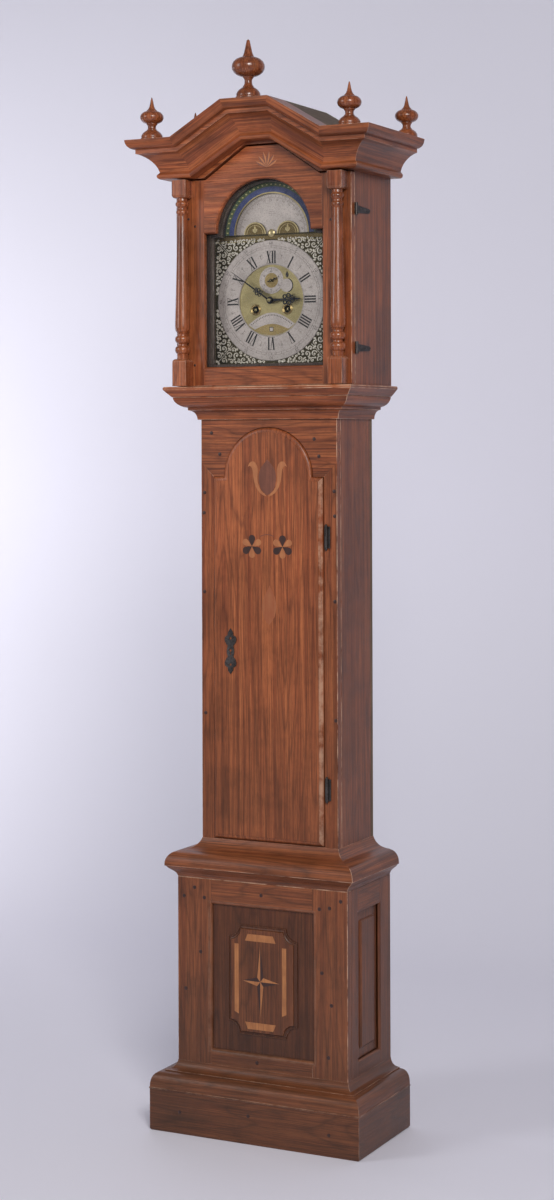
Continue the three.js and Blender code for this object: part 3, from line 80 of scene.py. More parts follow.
# The opening of the dark frame round the dial, in the same order.
MASK_OPENING = (148.5 * MM, 1802 * MM, 2103 * MM, 125 * MM)
MOON_Z = 2107  # height of the moon disc's centre, in millimetres
PANEL_BACK = 9 * MM  # how far the base panel's ground lies behind its frame
LUNAR_DAYS = 59  # two lunar months round the disc
BODY_OF = {
    node: body for body, nodes in frame["record"]["behaviour"]["bodies"].items() for node in nodes
}


# ------------------------------------------------------------------ sizes and colours
def tone(name, text, value):
    return bpy.props.FloatVectorProperty(
        name=name, description=text, default=value, size=3, min=0, max=1, subtype="COLOR"
    )


def length(name, text, value):
    return bpy.props.FloatProperty(
        name=name, description=text, default=value, min=0, unit="LENGTH", precision=4
    )


class ClockSizes(bpy.types.PropertyGroup):
    """Sizes of the worked edges and the dial's engraving."""

    arris: length("Arris", "Rounding of a worn wooden edge", 0.9 * MM)
    joint: length("Joint", "Rounding of a board's edge where it meets the next board", 0.5 * MM)
    sticking: length("Sticking", "Width of the moulding round the base panel", 9 * MM)
    door_ovolo: length("Door moulding", "Width of the trunk door's moulded edge", 11 * MM)
    numeral: length("Numeral height", "Height of the hour numerals", 29 * MM)
    stroke: length("Numeral stroke", "Width of a thick stroke of a numeral", 3.7 * MM)
    peg: length("Peg", "Diameter of a wooden peg", 8.5 * MM)


class ClockColours(bpy.types.PropertyGroup):
    """Colours of the finishes."""

    wood_dark: tone("Wood, dark", "Darkest tone of the case wood", (0.066, 0.0145, 0.0055))
    wood_mid: tone("Wood, middle", "Middle tone of the case wood", (0.275, 0.064, 0.021))
    wood_light: tone("Wood, light", "Lightest tone of the case wood", (0.50, 0.150, 0.050))
    # Also the colour of the painted highlight along the trunk door's right-hand edge.
    wear: tone("Wood, worn", "Tone of worn edges", (0.58, 0.36, 0.24))
    inlay: tone("Inlay", "Light inlaid wood", (0.50, 0.20, 0.065))
    pine: tone("Pine", "Unfinished softwood", (0.20, 0.135, 0.085))
    brass: tone("Brass", "Brass of the dial and movement", (0.60, 0.505, 0.25))
    silver: tone("Silvering", "Silvered brass", (0.67, 0.595, 0.545))
    steel: tone("Steel", "Blued steel", (0.045, 0.048, 0.060))
    iron: tone("Iron", "Blackened iron", (0.115, 0.104, 0.102))
    floor: tone("Floor", "Floor and backdrop", (0.80, 0.785, 0.865))


# ------------------------------------------------------------------ materials
class Finish:
    """A material being put together from nodes."""

    def __init__(self, name, **fixed):
        self.material = bpy.data.materials.new(name)
        self.material.use_nodes = True
        self.tree = self.material.node_tree
        self.shader = self.tree.nodes["Principled BSDF"]
        for socket, value in fixed.items():
            self.shader.inputs[socket.replace("_", " ")].default_value = value
        self.place = self.add("ShaderNodeTexCoord").outputs["Object"]

    def add(self, kind, values=(), **settings):
        node = self.tree.nodes.new(kind)
        for key, value in settings.items():
            setattr(node, key, value)
        for key, value in dict(values).items():
            self.feed(node.inputs[key], value)
        return node

    def feed(self, socket, value):
        if isinstance(value, bpy.types.NodeSocket):
            self.tree.links.new(value, socket)
        else:
            socket.default_value = value

    def stretched(self, where, scale, turn=(0, 0, 0)):
        values = {"Vector": where, "Scale": scale, "Rotation": turn}
        return self.add("ShaderNodeMapping", values).outputs["Vector"]

    def noise(self, where, scale, detail=3.0, roughness=0.55, distortion=0.0):
        values = {
            "Vector": where, "Scale": scale, "Detail": detail,
            "Roughness": roughness, "Distortion": distortion,
        }
        return self.add("ShaderNodeTexNoise", values).outputs["Fac"]

    def maths(self, operation, a, b=0.0):
        return self.add("ShaderNodeMath", {0: a, 1: b}, operation=operation).outputs[0]

    def ramp(self, value, *stops):
        node = self.add("ShaderNodeValToRGB", {"Fac": value})
        elements = node.color_ramp.elements
        while len(elements) < len(stops):
            elements.new(0.5)
        for element, (position, shade) in zip(elements, stops):
            element.position = position
            element.color = (shade, shade, shade, 1)
        return node.outputs["Color"]

    def mix(self, share, a, b, blend="MIX"):
        rgb = [c if isinstance(c, bpy.types.NodeSocket) else (*c, 1) for c in (a, b)]
        values = {0: share, 6: rgb[0], 7: rgb[1]}
        node = self.add("ShaderNodeMix", values, data_type="RGBA", blend_type=blend)
        return node.outputs[2]

    def bump(self, height, distance, strength=1.0):
        values = {"Height": height, "Distance": distance, "Strength": strength}
        normal = self.add("ShaderNodeBump", values).outputs["Normal"]
        self.feed(self.shader.inputs["Normal"], normal)

    def colour(self, value):
        self.feed(self.shader.inputs["Base Color"], value)

    def roughness(self, value, low, high):
        node = self.add("ShaderNodeMapRange", {"Value": value, "To Min": low, "To Max": high})
        self.feed(self.shader.inputs["Roughness"], node.outputs[0])


PITCH = 0.536
GRAIN_TURN = {
    "up": (0, 0, 0), "across": (0, pi / 2, 0), "deep": (pi / 2, 0, 0),
    "rise": (0, pi / 2 + PITCH, 0), "fall": (0, pi / 2 - PITCH, 0),
}


def make_wood(name, grain, dark, mid, light, worn, rough, painted_floor_shade=0.0, coat=0.06):
    """Wood with growth lines, fibres, pores, patina and worn edges. GRAIN_TURN says how it runs."""
    f = Finish(name, Coat_Weight=coat, Coat_Roughness=0.2, Specular_IOR_Level=0.38)
    board = f.add("ShaderNodeAttribute", attribute_name="board").outputs["Fac"]
    shift = f.add(
        "ShaderNodeVectorMath", {0: (3.1, 1.7, 5.3), "Scale": board}, operation="SCALE"
    ).outputs[0]
    place = f.add("ShaderNodeVectorMath", {0: f.place, 1: shift}, operation="ADD").outputs[0]
    along = f.stretched(place, (1, 1, 1), GRAIN_TURN[grain])
    figure = f.noise(f.stretched(along, (13, 13, 0.9)), 1.0, 2.0, 0.5, 0.5)
    lines = f.maths("PINGPONG", f.maths("MULTIPLY", figure, 13.0), 0.5)
    ring = f.ramp(lines, (0.0, 0.0), (0.16, 0.75), (0.5, 1.0))
    fibre = f.noise(f.stretched(along, (420, 420, 7.0)), 1.0, 4.0, 0.7)
    streak = f.noise(f.stretched(along, (105, 105, 1.7)), 1.0, 5.0, 0.72)
    pores = f.noise(f.stretched(along, (1150, 1150, 42)), 1.0, 2.0, 0.5)
    pit = f.ramp(pores, (0.30, 0.0), (0.42, 1.0))
    patina = f.noise(f.place, 3.4, 5.0, 0.6)
    grime = f.noise(f.place, 17.0, 4.0, 0.65)

    base = f.mix(f.ramp(streak, (0.36, 0.0), (0.64, 1.0)), mid, light)
    base = f.mix(f.maths("MULTIPLY", f.maths("SUBTRACT", 1.0, ring), 0.5), base, dark)
    base = f.mix(f.ramp(fibre, (0.36, 0.62), (0.56, 0.0)), base, dark)
    base = f.mix(f.maths("MULTIPLY", f.maths("SUBTRACT", 1.0, pit), 0.55), base, dark)
    cloud = f.ramp(patina, (0.33, 0.55), (0.62, 1.0))
    base = f.mix(1.0, base, cloud, "MULTIPLY")
    soot = f.ramp(grime, (0.30, 0.62), (0.52, 1.0))
    base = f.mix(0.6, base, soot, "MULTIPLY")
    # Painted shade: the colour is taken towards a dark brown lower down, most at the floor and none above
    # 1.35 m.
    if painted_floor_shade:
        height = f.add("ShaderNodeSeparateXYZ", {0: f.place}).outputs["Z"]
        low = f.add(
            "ShaderNodeMapRange",
            {"Value": height, "From Min": 0.0, "From Max": 1.35, "To Min": painted_floor_shade, "To Max": 0.0},
        ).outputs[0]
        base = f.mix(low, base, (0.066, 0.036, 0.019))
    tint = f.maths("ADD", f.maths("MULTIPLY", board, 0.34), 0.83)
    base = f.mix(1.0, base, f.add("ShaderNodeCombineColor", {0: tint, 1: tint, 2: tint}).outputs[0],
                 "MULTIPLY")
    # The worn tone falls on worn edges, and also paints a highlight where faces are marked for one, as on
    # the trunk door's right-hand edge.
    rub_and_highlight = f.add("ShaderNodeAttribute", attribute_name="wear").outputs["Fac"]
    patchy = f.ramp(f.noise(f.place, 26.0, 4.0, 0.7), (0.38, 0.0), (0.60, 0.9))
    f.colour(f.mix(f.maths("MULTIPLY", rub_and_highlight, patchy), base, worn))
    f.roughness(f.maths("ADD", f.maths("MULTIPLY", fibre, 0.5), f.maths("MULTIPLY", grime, 0.5)),
                rough - 0.10, rough + 0.16)
    relief = f.maths("ADD", f.maths("MULTIPLY", pit, 0.55), f.maths("MULTIPLY", fibre, 0.6))
    relief = f.maths("ADD", relief, f.maths("MULTIPLY", ring, 0.16))
    relief = f.maths("ADD", relief, f.maths("MULTIPLY", grime, 0.9))
    f.bump(relief, 0.35 * MM, 0.55)
    return f.material


def make_inlay(name, colour, dark):
    """A veneer inlaid flush in the wood."""
    f = Finish(name, Coat_Weight=0.12, Coat_Roughness=0.28)
    fibre = f.noise(f.stretched(f.place, (260, 260, 9)), 1.0, 4.0, 0.65)
    cloud = f.noise(f.place, 30.0, 4.0, 0.6)
    base = f.mix(f.ramp(fibre, (0.35, 0.6), (0.62, 0.0)), colour, dark)
    f.colour(f.mix(f.ramp(cloud, (0.35, 0.5), (0.6, 0.0)), base, dark))
    f.roughness(fibre, 0.32, 0.5)
    f.bump(fibre, 0.2 * MM, 0.5)
    return f.material


def make_metal(name, colour, deep, rough, metallic=1.0, patch=0.5, relief=0.15, grain=420.0):
    """Metal with tarnish in clouds, fine scratches and an uneven polish."""
    f = Finish(name, Metallic=metallic)
    cloud = f.noise(f.place, 21.0, 5.0, 0.62)
    speck = f.noise(f.place, grain, 3.0, 0.6)
    base = f.mix(f.ramp(cloud, (0.36, patch), (0.64, 0.0)), colour, deep)
    f.colour(f.mix(f.ramp(speck, (0.36, 0.55), (0.52, 0.0)), base, deep))
    f.roughness(f.maths("ADD", f.maths("MULTIPLY", cloud, 0.6), f.maths("MULTIPLY", speck, 0.4)),
                max(rough - 0.12, 0.04), rough + 0.16)
    f.bump(f.maths("ADD", speck, f.maths("MULTIPLY", cloud, 0.5)), relief * MM, 0.6)
    return f.material


def make_dial_brass(name, colour, deep, centre, radius):
    """Dial brass: punched matting inside the chapter ring, darker and smoother outside it."""
    f = Finish(name, Metallic=0.92)
    away = f.add("ShaderNodeVectorMath", {0: f.place, 1: centre}, operation="SUBTRACT").outputs[0]
    flat = f.add("ShaderNodeVectorMath", {0: away, 1: (1, 0, 1)}, operation="MULTIPLY").outputs[0]
    far = f.add("ShaderNodeVectorMath", {0: flat}, operation="LENGTH").outputs["Value"]
    inside = f.maths("LESS_THAN", far, radius)
    cloud = f.noise(f.place, 26.0, 5.0, 0.6)
    punch = f.add("ShaderNodeTexVoronoi", {"Vector": f.place, "Scale": 780.0}).outputs["Distance"]
    matt = f.ramp(punch, (0.12, 0.0), (0.55, 1.0))
    bright = f.mix(f.maths("MULTIPLY", f.maths("SUBTRACT", 1.0, matt), 0.55), colour, deep)
    bright = f.mix(f.ramp(cloud, (0.38, 0.4), (0.62, 0.0)), bright, deep)
    tarnish_and_shade = f.mix(f.ramp(cloud, (0.34, 0.8), (0.66, 0.2)), colour, deep)
    # Painted shade: outside the ring the brass goes most of the way to near black, for the shade behind the
    # openwork spandrels.
    tarnish_and_shade = f.mix(0.86, tarnish_and_shade, (0.020, 0.016, 0.012))
    f.colour(f.mix(inside, tarnish_and_shade, bright))
    f.roughness(cloud, 0.34, 0.52)
    f.bump(f.maths("MULTIPLY", matt, inside), 0.22 * MM, 0.8)
    return f.material


def make_paint(name, colour, other, scale=60.0, rough=0.45):
    """Old oil paint in two close tones."""
    f = Finish(name, Coat_Weight=0.1)
    cloud = f.noise(f.place, scale, 4.0, 0.6)
    f.colour(f.mix(f.ramp(cloud, (0.38, 0.0), (0.62, 1.0)), colour, other))
    f.roughness(cloud, rough - 0.08, rough + 0.12)
    f.bump(cloud, 0.1 * MM, 0.5)
    return f.material


def make_glass(name):
    """A clear pane with faint ripples."""
    f = Finish(name, Alpha=0.1, Roughness=0.03, IOR=1.5)
    f.shader.inputs["Base Color"].default_value = (0.05, 0.055, 0.06, 1)
    f.bump(f.noise(f.place, 7.0, 2.0, 0.5), 0.6 * MM, 0.25)
    return f.material


def make_plain_floor(name, colour):
    """A pale, faintly cloudy surface that shows only from its upper side."""
    f = Finish(name, Roughness=0.62)
    cloud = f.noise(f.place, 0.7, 2.0, 0.5)
    pale = [min(1.0, c * 1.04) for c in colour]
    f.colour(f.mix(cloud, tuple(colour), tuple(pale)))
    face = f.add("ShaderNodeNewGeometry")
    clear = f.add("ShaderNodeBsdfTransparent")
    either = f.add("ShaderNodeMixShader")
    f.feed(either.inputs["Fac"], face.outputs["Backfacing"])
    f.feed(either.inputs[1], f.shader.outputs["BSDF"])
    f.feed(either.inputs[2], clear.outputs["BSDF"])
    f.feed(f.tree.nodes["Material Output"].inputs["Surface"], either.outputs["Shader"])
    return f.material


def make_gut(name):
    """Twisted gut line."""
    f = Finish(name, Roughness=0.5)
    twist = f.add(
        "ShaderNodeTexWave", {"Vector": f.place, "Scale": 190.0, "Distortion": 0.6},
        bands_direction="DIAGONAL",
    ).outputs["Fac"]
    f.colour(f.mix(twist, (0.28, 0.19, 0.09), (0.62, 0.48, 0.28)))
    f.bump(twist, 0.3 * MM, 0.8)
    return f.material


made = {}


def finish(key):
    """The material of a finish, made once."""
    if key in made:
        return made[key]
    c = bpy.context.scene.clock_colours
    dark, mid, light, worn = c.wood_dark[:], c.wood_mid[:], c.wood_light[:], c.wear[:]
    pine = c.pine[:]
    pine_dark = tuple(v * 0.35 for v in pine)
    brass_deep = tuple(v * 0.34 for v in c.brass)
    silver_deep = tuple(v * 0.55 for v in c.silver)
    middle = centre_of("chapter_ring")
    recipes = {
        "dial_brass": lambda: make_dial_brass(
            "Dial brass", c.brass[:], brass_deep, tuple(middle), 84.5 * MM),
        "brass": lambda: make_metal("Brass", c.brass[:], brass_deep, 0.32),
        "gilt": lambda: make_metal("Gilt", (0.50, 0.38, 0.17), (0.20, 0.13, 0.05), 0.36),
        "old_brass": lambda: make_metal("Old brass", (0.26, 0.19, 0.085), (0.07, 0.05, 0.025), 0.42),
        "bright_gilt": lambda: make_metal(
            "Bright gilt", (0.72, 0.60, 0.32), (0.36, 0.27, 0.12), 0.3, 0.7),
        "engraving": lambda: make_paint("Worn wax", (0.10, 0.085, 0.078), (0.20, 0.17, 0.155)),
        "spandrel": lambda: make_metal(
            "Spandrel brass", (0.86, 0.81, 0.70), (0.42, 0.36, 0.25), 0.30, 0.45, 0.4, 0.2),
        "silver": lambda: make_metal(
            "Silvering", c.silver[:], silver_deep, 0.42, 0.55, 0.55, 0.08, 260.0),
        "steel": lambda: make_metal("Blued steel", c.steel[:], (0.02, 0.016, 0.014), 0.34),
        "bright_steel": lambda: make_metal("Steel", (0.42, 0.42, 0.43), (0.16, 0.14, 0.13), 0.32),
        "iron": lambda: make_metal(
            "Blackened iron", c.iron[:], (0.02, 0.015, 0.012), 0.5, 0.9, 0.6, 0.4, 300.0),
        "lead": lambda: make_metal("Lead", (0.22, 0.215, 0.21), (0.10, 0.09, 0.085), 0.6, 0.8),
        "wax": lambda: make_paint("Black wax", (0.010, 0.010, 0.011), (0.028, 0.025, 0.022)),
        "blue": lambda: make_paint("Blue paint", (0.055, 0.075, 0.20), (0.10, 0.12, 0.26)),
        "green": lambda: make_paint("Green paint", (0.07, 0.11, 0.06), (0.14, 0.17, 0.08)),
        "straw": lambda: make_paint("Straw paint", (0.52, 0.46, 0.18), (0.62, 0.56, 0.27)),
        "night": lambda: make_paint("Dark paint", (0.012, 0.015, 0.020), (0.028, 0.032, 0.038)),
        "glass": lambda: make_glass("Glass"),
        "gut": lambda: make_gut("Gut"),
        "inlay": lambda: make_inlay("Light inlay", c.inlay[:], (0.24, 0.08, 0.025)),
        "inlay_dark": lambda: make_inlay("Dark inlay", (0.050, 0.016, 0.011), (0.022, 0.008, 0.006)),
        "inlay_bud": lambda: make_inlay("Brown inlay", (0.20, 0.062, 0.032), (0.10, 0.032, 0.018)),
        "inlay_soft": lambda: make_inlay("Orange inlay", (0.46, 0.175, 0.06), (0.30, 0.095, 0.035)),
        "inlay_faint": lambda: make_inlay("Faded inlay", (0.33, 0.11, 0.04), mid),
        "floor": lambda: make_plain_floor("Floor", c.floor[:]),
    }
    recipes["polished"] = lambda: make_wood(
        "Turned oak", "up", dark, mid, light, worn, 0.24, 0.0, 0.35)
    for grain in GRAIN_TURN:
        recipes["oak_" + grain] = lambda g=grain: make_wood(
            "Oak, grain " + g, g, dark, mid, light, worn, 0.36, 0.58)
        recipes["pine_" + grain] = lambda g=grain: make_wood(
            "Pine, grain " + g, g, pine_dark, pine, tuple(min(1, v * 1.5) for v in pine),
            tuple(min(1, v * 1.7) for v in pine), 0.72, 0.0, 0.0)
        recipes["ebony_" + grain] = lambda g=grain: make_wood(
            "Dark wood, grain " + g, g, (0.040, 0.023, 0.018), (0.105, 0.066, 0.052),
            (0.19, 0.125, 0.10), (0.34, 0.26, 0.22), 0.28, 0.0, 0.3)
    made[key] = recipes[key]()
    return made[key]


def woods(kind="oak"):
    """The same wood with its grain each way, in the order of GRAIN_TURN."""
    return [finish(kind + "_" + grain) for grain in GRAIN_TURN]


UP, ACROSS, DEEP, RISE, FALL = range(5)


# ------------------------------------------------------------------ mesh helpers
def turned_wood():
    """The polished wood in every slot, so that the grain of a turned piece runs up."""
    return [finish("polished")] * len(GRAIN_TURN)


def centre_of(node):
    low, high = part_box(node)
    return (low + high) / 2


def put(name, bm, finishes, node, instead=(), smooth=35.0, between=None):
    """A finished mesh as a piece that moves with a node's body, or stretches between two bodies."""
    mesh = bpy.data.meshes.new(name)
    bm.to_mesh(mesh)
    bm.free()
    for material in finishes:
        mesh.materials.append(material)
    mesh.shade_smooth()
    mesh.set_sharp_from_angle(angle=radians(smooth))
    piece = bpy.data.objects.new(name, mesh)
    bpy.context.scene.collection.objects.link(piece)
    flat = piece.modifiers.new("Flat faces", "WEIGHTED_NORMAL")
    flat.keep_sharp = True
    if between:
        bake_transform(piece, *between)
    else:
        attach(piece, BODY_OF[node])
    if instead:
        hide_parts(*instead)
    return piece


def copy_of(node):
    """A node's mesh with its loose triangles joined into flat faces."""
    bm = bmesh.new()
    bm.from_mesh(frame["nodes"][node].data)
    bmesh.ops.remove_doubles(bm, verts=bm.verts, dist=0.01 * MM)
    bmesh.ops.dissolve_limit(bm, angle_limit=radians(0.4), verts=bm.verts, edges=bm.edges)
    for layer in ("wear", "board"):
        bm.faces.layers.float.new(layer)
    return bm


def bevel(bm, edges, width, segments, worn=0.0):
    """Rounds edges, and marks the new faces as worn."""
    result = bmesh.ops.bevel(
        bm, geom=edges, offset=width, offset_type="OFFSET", affect="EDGES",
        segments=segments, profile=0.5, material=-1, clamp_overlap=True,
    )
    if worn:
        wear = bm.faces.layers.float["wear"]
        for face in result["faces"]:
            face[wear] = worn


def sharp_edges(bm, least=35.0, pick=None):
    """The outer edges sharper than an angle in degrees, out of those that pick allows."""
    return [
        e for e in bm.edges
        if len(e.link_faces) == 2 and e.is_convex and e.calc_face_angle(0) > radians(least)
        and (pick is None or pick(e))
    ]


def soften(bm, width=None, least=35.0, segments=2, worn=1.0, pick=None):
    """Takes the sharpness off the outer corners."""
    width = bpy.context.scene.clock_sizes.arris if width is None else width
    bevel(bm, sharp_edges(bm, least, pick), width, segments, worn)


def plane(axis, at, keep_less=True):
    """A cutting plane square to an axis. The part kept is below or above it."""
    point = Vector((0, 0, 0))
    point[axis] = at
    normal = Vector((0, 0, 0))
    normal[axis] = 1 if keep_less else -1
    return point, normal


def part_of(bm, planes):
    """The part of a mesh on the inner side of every plane, closed where it was cut."""
    part = bm.copy()
    for point, normal in planes:
        everything = part.verts[:] + part.edges[:] + part.faces[:]
        bmesh.ops.bisect_plane(
            part, geom=everything, dist=1e-7, plane_co=point, plane_no=normal, clear_outer=True
        )
        rim = [e for e in part.edges if e.is_boundary]
        if rim:
            bmesh.ops.holes_fill(part, edges=rim, sides=0)
    return part


def shade_all(bm, shade):
    """Gives every face of a piece the same shade of its wood."""
    board = bm.faces.layers.float["board"]
    for face in bm.faces:
        face[board] = shade


def between(axis, low, high):
    """The two cutting planes that keep what lies between two places on an axis."""
    return [plane(axis, low, False), plane(axis, high)]


def gather(target, part, grain=0, shade=0.0):
    """Adds a board to a piece, with its grain and its own shade."""
    board = part.faces.layers.float["board"]
    for face in part.faces:
        face.material_index = grain
        face[board] = shade
    carrier = bpy.data.meshes.new("carrier")
    part.to_mesh(carrier)
    part.free()
    target.from_mesh(carrier)
    bpy.data.meshes.remove(carrier)


def place_part(target, part, where, degrees_round=0.0):
    """Adds a part of the dial, turned clockwise about its own origin and moved to its place."""
    move = Matrix.Translation(where) @ Matrix.Rotation(radians(degrees_round), 4, "Y")
    bmesh.ops.transform(part, matrix=move, verts=part.verts)
    gather(target, part)


def fresh():
    """An empty mesh with the layers that the wood reads."""
    bm = bmesh.new()
    for layer in ("wear", "board"):
        bm.faces.layers.float.new(layer)
    return bm


def in_boards(bm, cells, joint=None, worn_at=None):
    """A piece as separate boards: each cell is its grain, its shade and the planes that bound it."""
    if worn_at:
        def on_corner(e):
            return all(abs(abs(v.co.x) - worn_at) < TOUCHING for v in e.verts)

        soften(bm, 1.3 * MM, 60.0, 3, 1.0, on_corner)
    joint = bpy.context.scene.clock_sizes.joint if joint is None else joint
    whole = fresh()
    for grain, shade, planes in cells:
        part = part_of(bm, planes)
        if part.faces:
            soften(part, joint, 40.0, 1, 0.0)
            gather(whole, part, grain, shade)
        else:
            part.free()
    bm.free()
    return whole


def slab(points, front, back, bm=None, side=False):
    """An outline, X and Z, made thick between two depths. From the side, it is Y and Z between two X."""
    bm = bm or fresh()
    corners = [
        bm.verts.new((front, a, b) if side else (a, front, b)) for a, b in points
    ]
    face = bm.faces.new(corners)
    grown = bmesh.ops.extrude_face_region(bm, geom=[face])["geom"]
    offset = Vector((back - front, 0, 0)) if side else Vector((0, back - front, 0))
    new = [v for v in grown if isinstance(v, bmesh.types.BMVert)]
    bmesh.ops.translate(bm, verts=new, vec=offset)
    faces = list({f for v in corners + new for f in v.link_faces})
    bmesh.ops.recalc_face_normals(bm, faces=faces)
    return bm


def plate(points, front, back, bm=None):
    """A slab whose outline is in millimetres."""
    return slab([(x * MM, z * MM) for x, z in points], front, back, bm)


def box_between(low, high, bm=None):
    """A block between two corners."""
    bm = bm or fresh()
    low, high = Vector(low), Vector(high)
    middle = Matrix.Translation((low + high) / 2)
    size = Matrix.Diagonal((*(high - low), 1))
    bmesh.ops.create_cube(bm, size=1, matrix=middle @ size)
    return bm


def lathe(profile, centre=(0, 0, 0), along="z", steps=48, bm=None):
    """A turned piece. Its profile is radii and heights, and ends on the axis or closes on itself."""
    target = bm or fresh()
    turned = fresh()
    verts = [turned.verts.new((r, 0, h)) for r, h in profile]
    edges = [turned.edges.new(pair) for pair in zip(verts, verts[1:])]
    if profile[0][0] > 0 or profile[-1][0] > 0:
        edges.append(turned.edges.new((verts[-1], verts[0])))
    bmesh.ops.spin(
        turned, geom=verts + edges, cent=(0, 0, 0), axis=(0, 0, 1), dvec=(0, 0, 0),
        angle=2 * pi, steps=steps, use_merge=True, use_duplicate=False,
    )
    bmesh.ops.remove_doubles(turned, verts=turned.verts, dist=0.002 * MM)
    bmesh.ops.recalc_face_normals(turned, faces=turned.faces)
    turn = Matrix.Rotation(pi / 2, 4, "X") if along == "y" else Matrix.Identity(4)
    bmesh.ops.transform(turned, matrix=Matrix.Translation(centre) @ turn, verts=turned.verts)
    gather(target, turned)
    return target


def lathe_mm(profile, centre, along="z", steps=48, bm=None):
    """A turned piece whose profile is in millimetres."""
    return lathe([(r * MM, h * MM) for r, h in profile], centre, along, steps, bm)


def ring_plate(outer, inner, front, back, x, z, steps=64, bm=None, edge=0.0):
    """A flat ring, or a disc where inner is 0, seen from the front."""
    thick = back - front
    profile = [(inner, 0), (inner, thick)] if inner else [(0, 0), (0, thick)]
    if edge:
        profile += [(outer - edge, thick), (outer, thick - edge), (outer, 0)]
    else:
        profile += [(outer, thick), (outer, 0)]
    return lathe(profile, (x, back, z), "y", steps, bm)


def bar(bm, start, end, width, front, back, tip=None):
    """A flat bar between two points seen from the front, tapering to the width tip."""
    tip = width if tip is None else tip
    (x0, z0), (x1, z1) = start, end
    run = hypot(x1 - x0, z1 - z0)
    nx, nz = (z1 - z0) / run / 2, -(x1 - x0) / run / 2
    points = [
        (x0 - nx * width, z0 - nz * width), (x0 + nx * width, z0 + nz * width),
        (x1 + nx * tip, z1 + nz * tip), (x1 - nx * tip, z1 - nz * tip),
    ]
    return slab(points, front, back, bm)


def arc(x, z, radius, start, end, steps):
    """Points along an arc, in degrees anticlockwise from +X."""
    return [
        (x + radius * cos(radians(start + (end - start) * i / steps)),
         z + radius * sin(radians(start + (end - start) * i / steps)))
        for i in range(steps + 1)
    ]


def curve_points(handles, steps=8):
    """Points along joined curves: each is its end and the two handles before it."""
    points = [Vector((*handles[0], 0))]
    out = [handles[0]]
    for a, b, end in zip(handles[1::3], handles[2::3], handles[3::3]):
        a, b, end = (Vector((*v, 0)) for v in (a, b, end))
        out += [(q.x, q.y) for q in interpolate_bezier(points[-1], a, b, end, steps + 1)[1:]]
        points.append(end)
    return out


def arched(half, z0, shoulder, radius, grow=0.0, steps=40):
    """The outline of an opening with square shoulders and a round arch."""
    r = radius + grow
    start = atan2(max(grow, 0), sqrt(r * r - max(grow, 0) ** 2)) * 180 / pi
    return [
        (-half - grow, z0 - grow), (half + grow, z0 - grow), (half + grow, shoulder + grow),
        *arc(0, shoulder, r, start, 180 - start, steps),
        (-half - grow, shoulder + grow),
    ]


def mould_face(bm, face, steps):
    """Works a moulded edge on a face: each step is how far in and how far up."""
    for inward, rise in steps:
        bmesh.ops.inset_region(
            bm, faces=[face], thickness=inward, depth=rise,
            use_even_offset=True, use_boundary=True,
        )


def quarter_round(width, rise, steps=5):
    """The steps of a quarter round edge."""
    out = []
    for i in range(steps):
        a, b = pi / 2 * i / steps, pi / 2 * (i + 1) / steps
        out.append((width * (cos(a) - cos(b)), rise * (sin(b) - sin(a))))
    return out


def front_face(bm):
    """The face that looks straight to the front and lies furthest forward."""
    faces = [f for f in bm.faces if f.normal.y < -0.99]
    return min(faces, key=lambda f: (round(f.calc_center_median().y, 5), -f.calc_area()))


def dress(node, finishes, arris=None, smooth=35.0, name=None):
    """A node's own shape with its corners softened and its curves smooth."""
    bm = copy_of(node)
    if arris:
        soften(bm, arris)
    return put(name or node + "_finished", bm, finishes, node, [node], smooth)


def paint_node(node, material):
    """Gives a node that is shown as it is a better finish."""
    mesh = frame["nodes"][node].data
    mesh.materials.clear()
    mesh.materials.append(material)


def sweep_grain(bm, half, front, plain_below=0.0):
    """The grain turns at the mitres of a moulding. What lies below plain_below is another board."""
    board = bm.faces.layers.float["board"]
    for face in bm.faces:
        middle = face.calc_center_median()
        on_side = abs(middle.x) - half > front - middle.y
        face.material_index = DEEP if on_side else ACROSS
        face[board] = 0.3 if on_side else 0.55
        if middle.z < plain_below:
            face[board] = -0.25 if on_side else -0.1


def dress_sweep(node, half, front, plain_below=0.0):
    """A moulding that runs round the front and both sides."""
    bm = copy_of(node)
    sweep_grain(bm, half, front, plain_below)
    soften(bm, None, 38.0)
    return put(node + "_finished", bm, woods(), node, [node], 24.0)


def pegs(name, node, places, front, radius=None):
    """Wooden pegs that stand a hair out of the boards they hold."""
    radius = radius or bpy.context.scene.clock_sizes.peg / 2
    bm = fresh()
    for x, z in places:
        profile = [(0, -2 * MM), (radius, -2 * MM), (radius, 0.3 * MM),
                   (radius * 0.7, 0.9 * MM), (0, 1.0 * MM)]
        lathe(profile, (x * MM, front, z * MM), "y", 12, bm)
    shade_all(bm, 0.02)
    return put(name, bm, [finish("inlay_dark")], node)


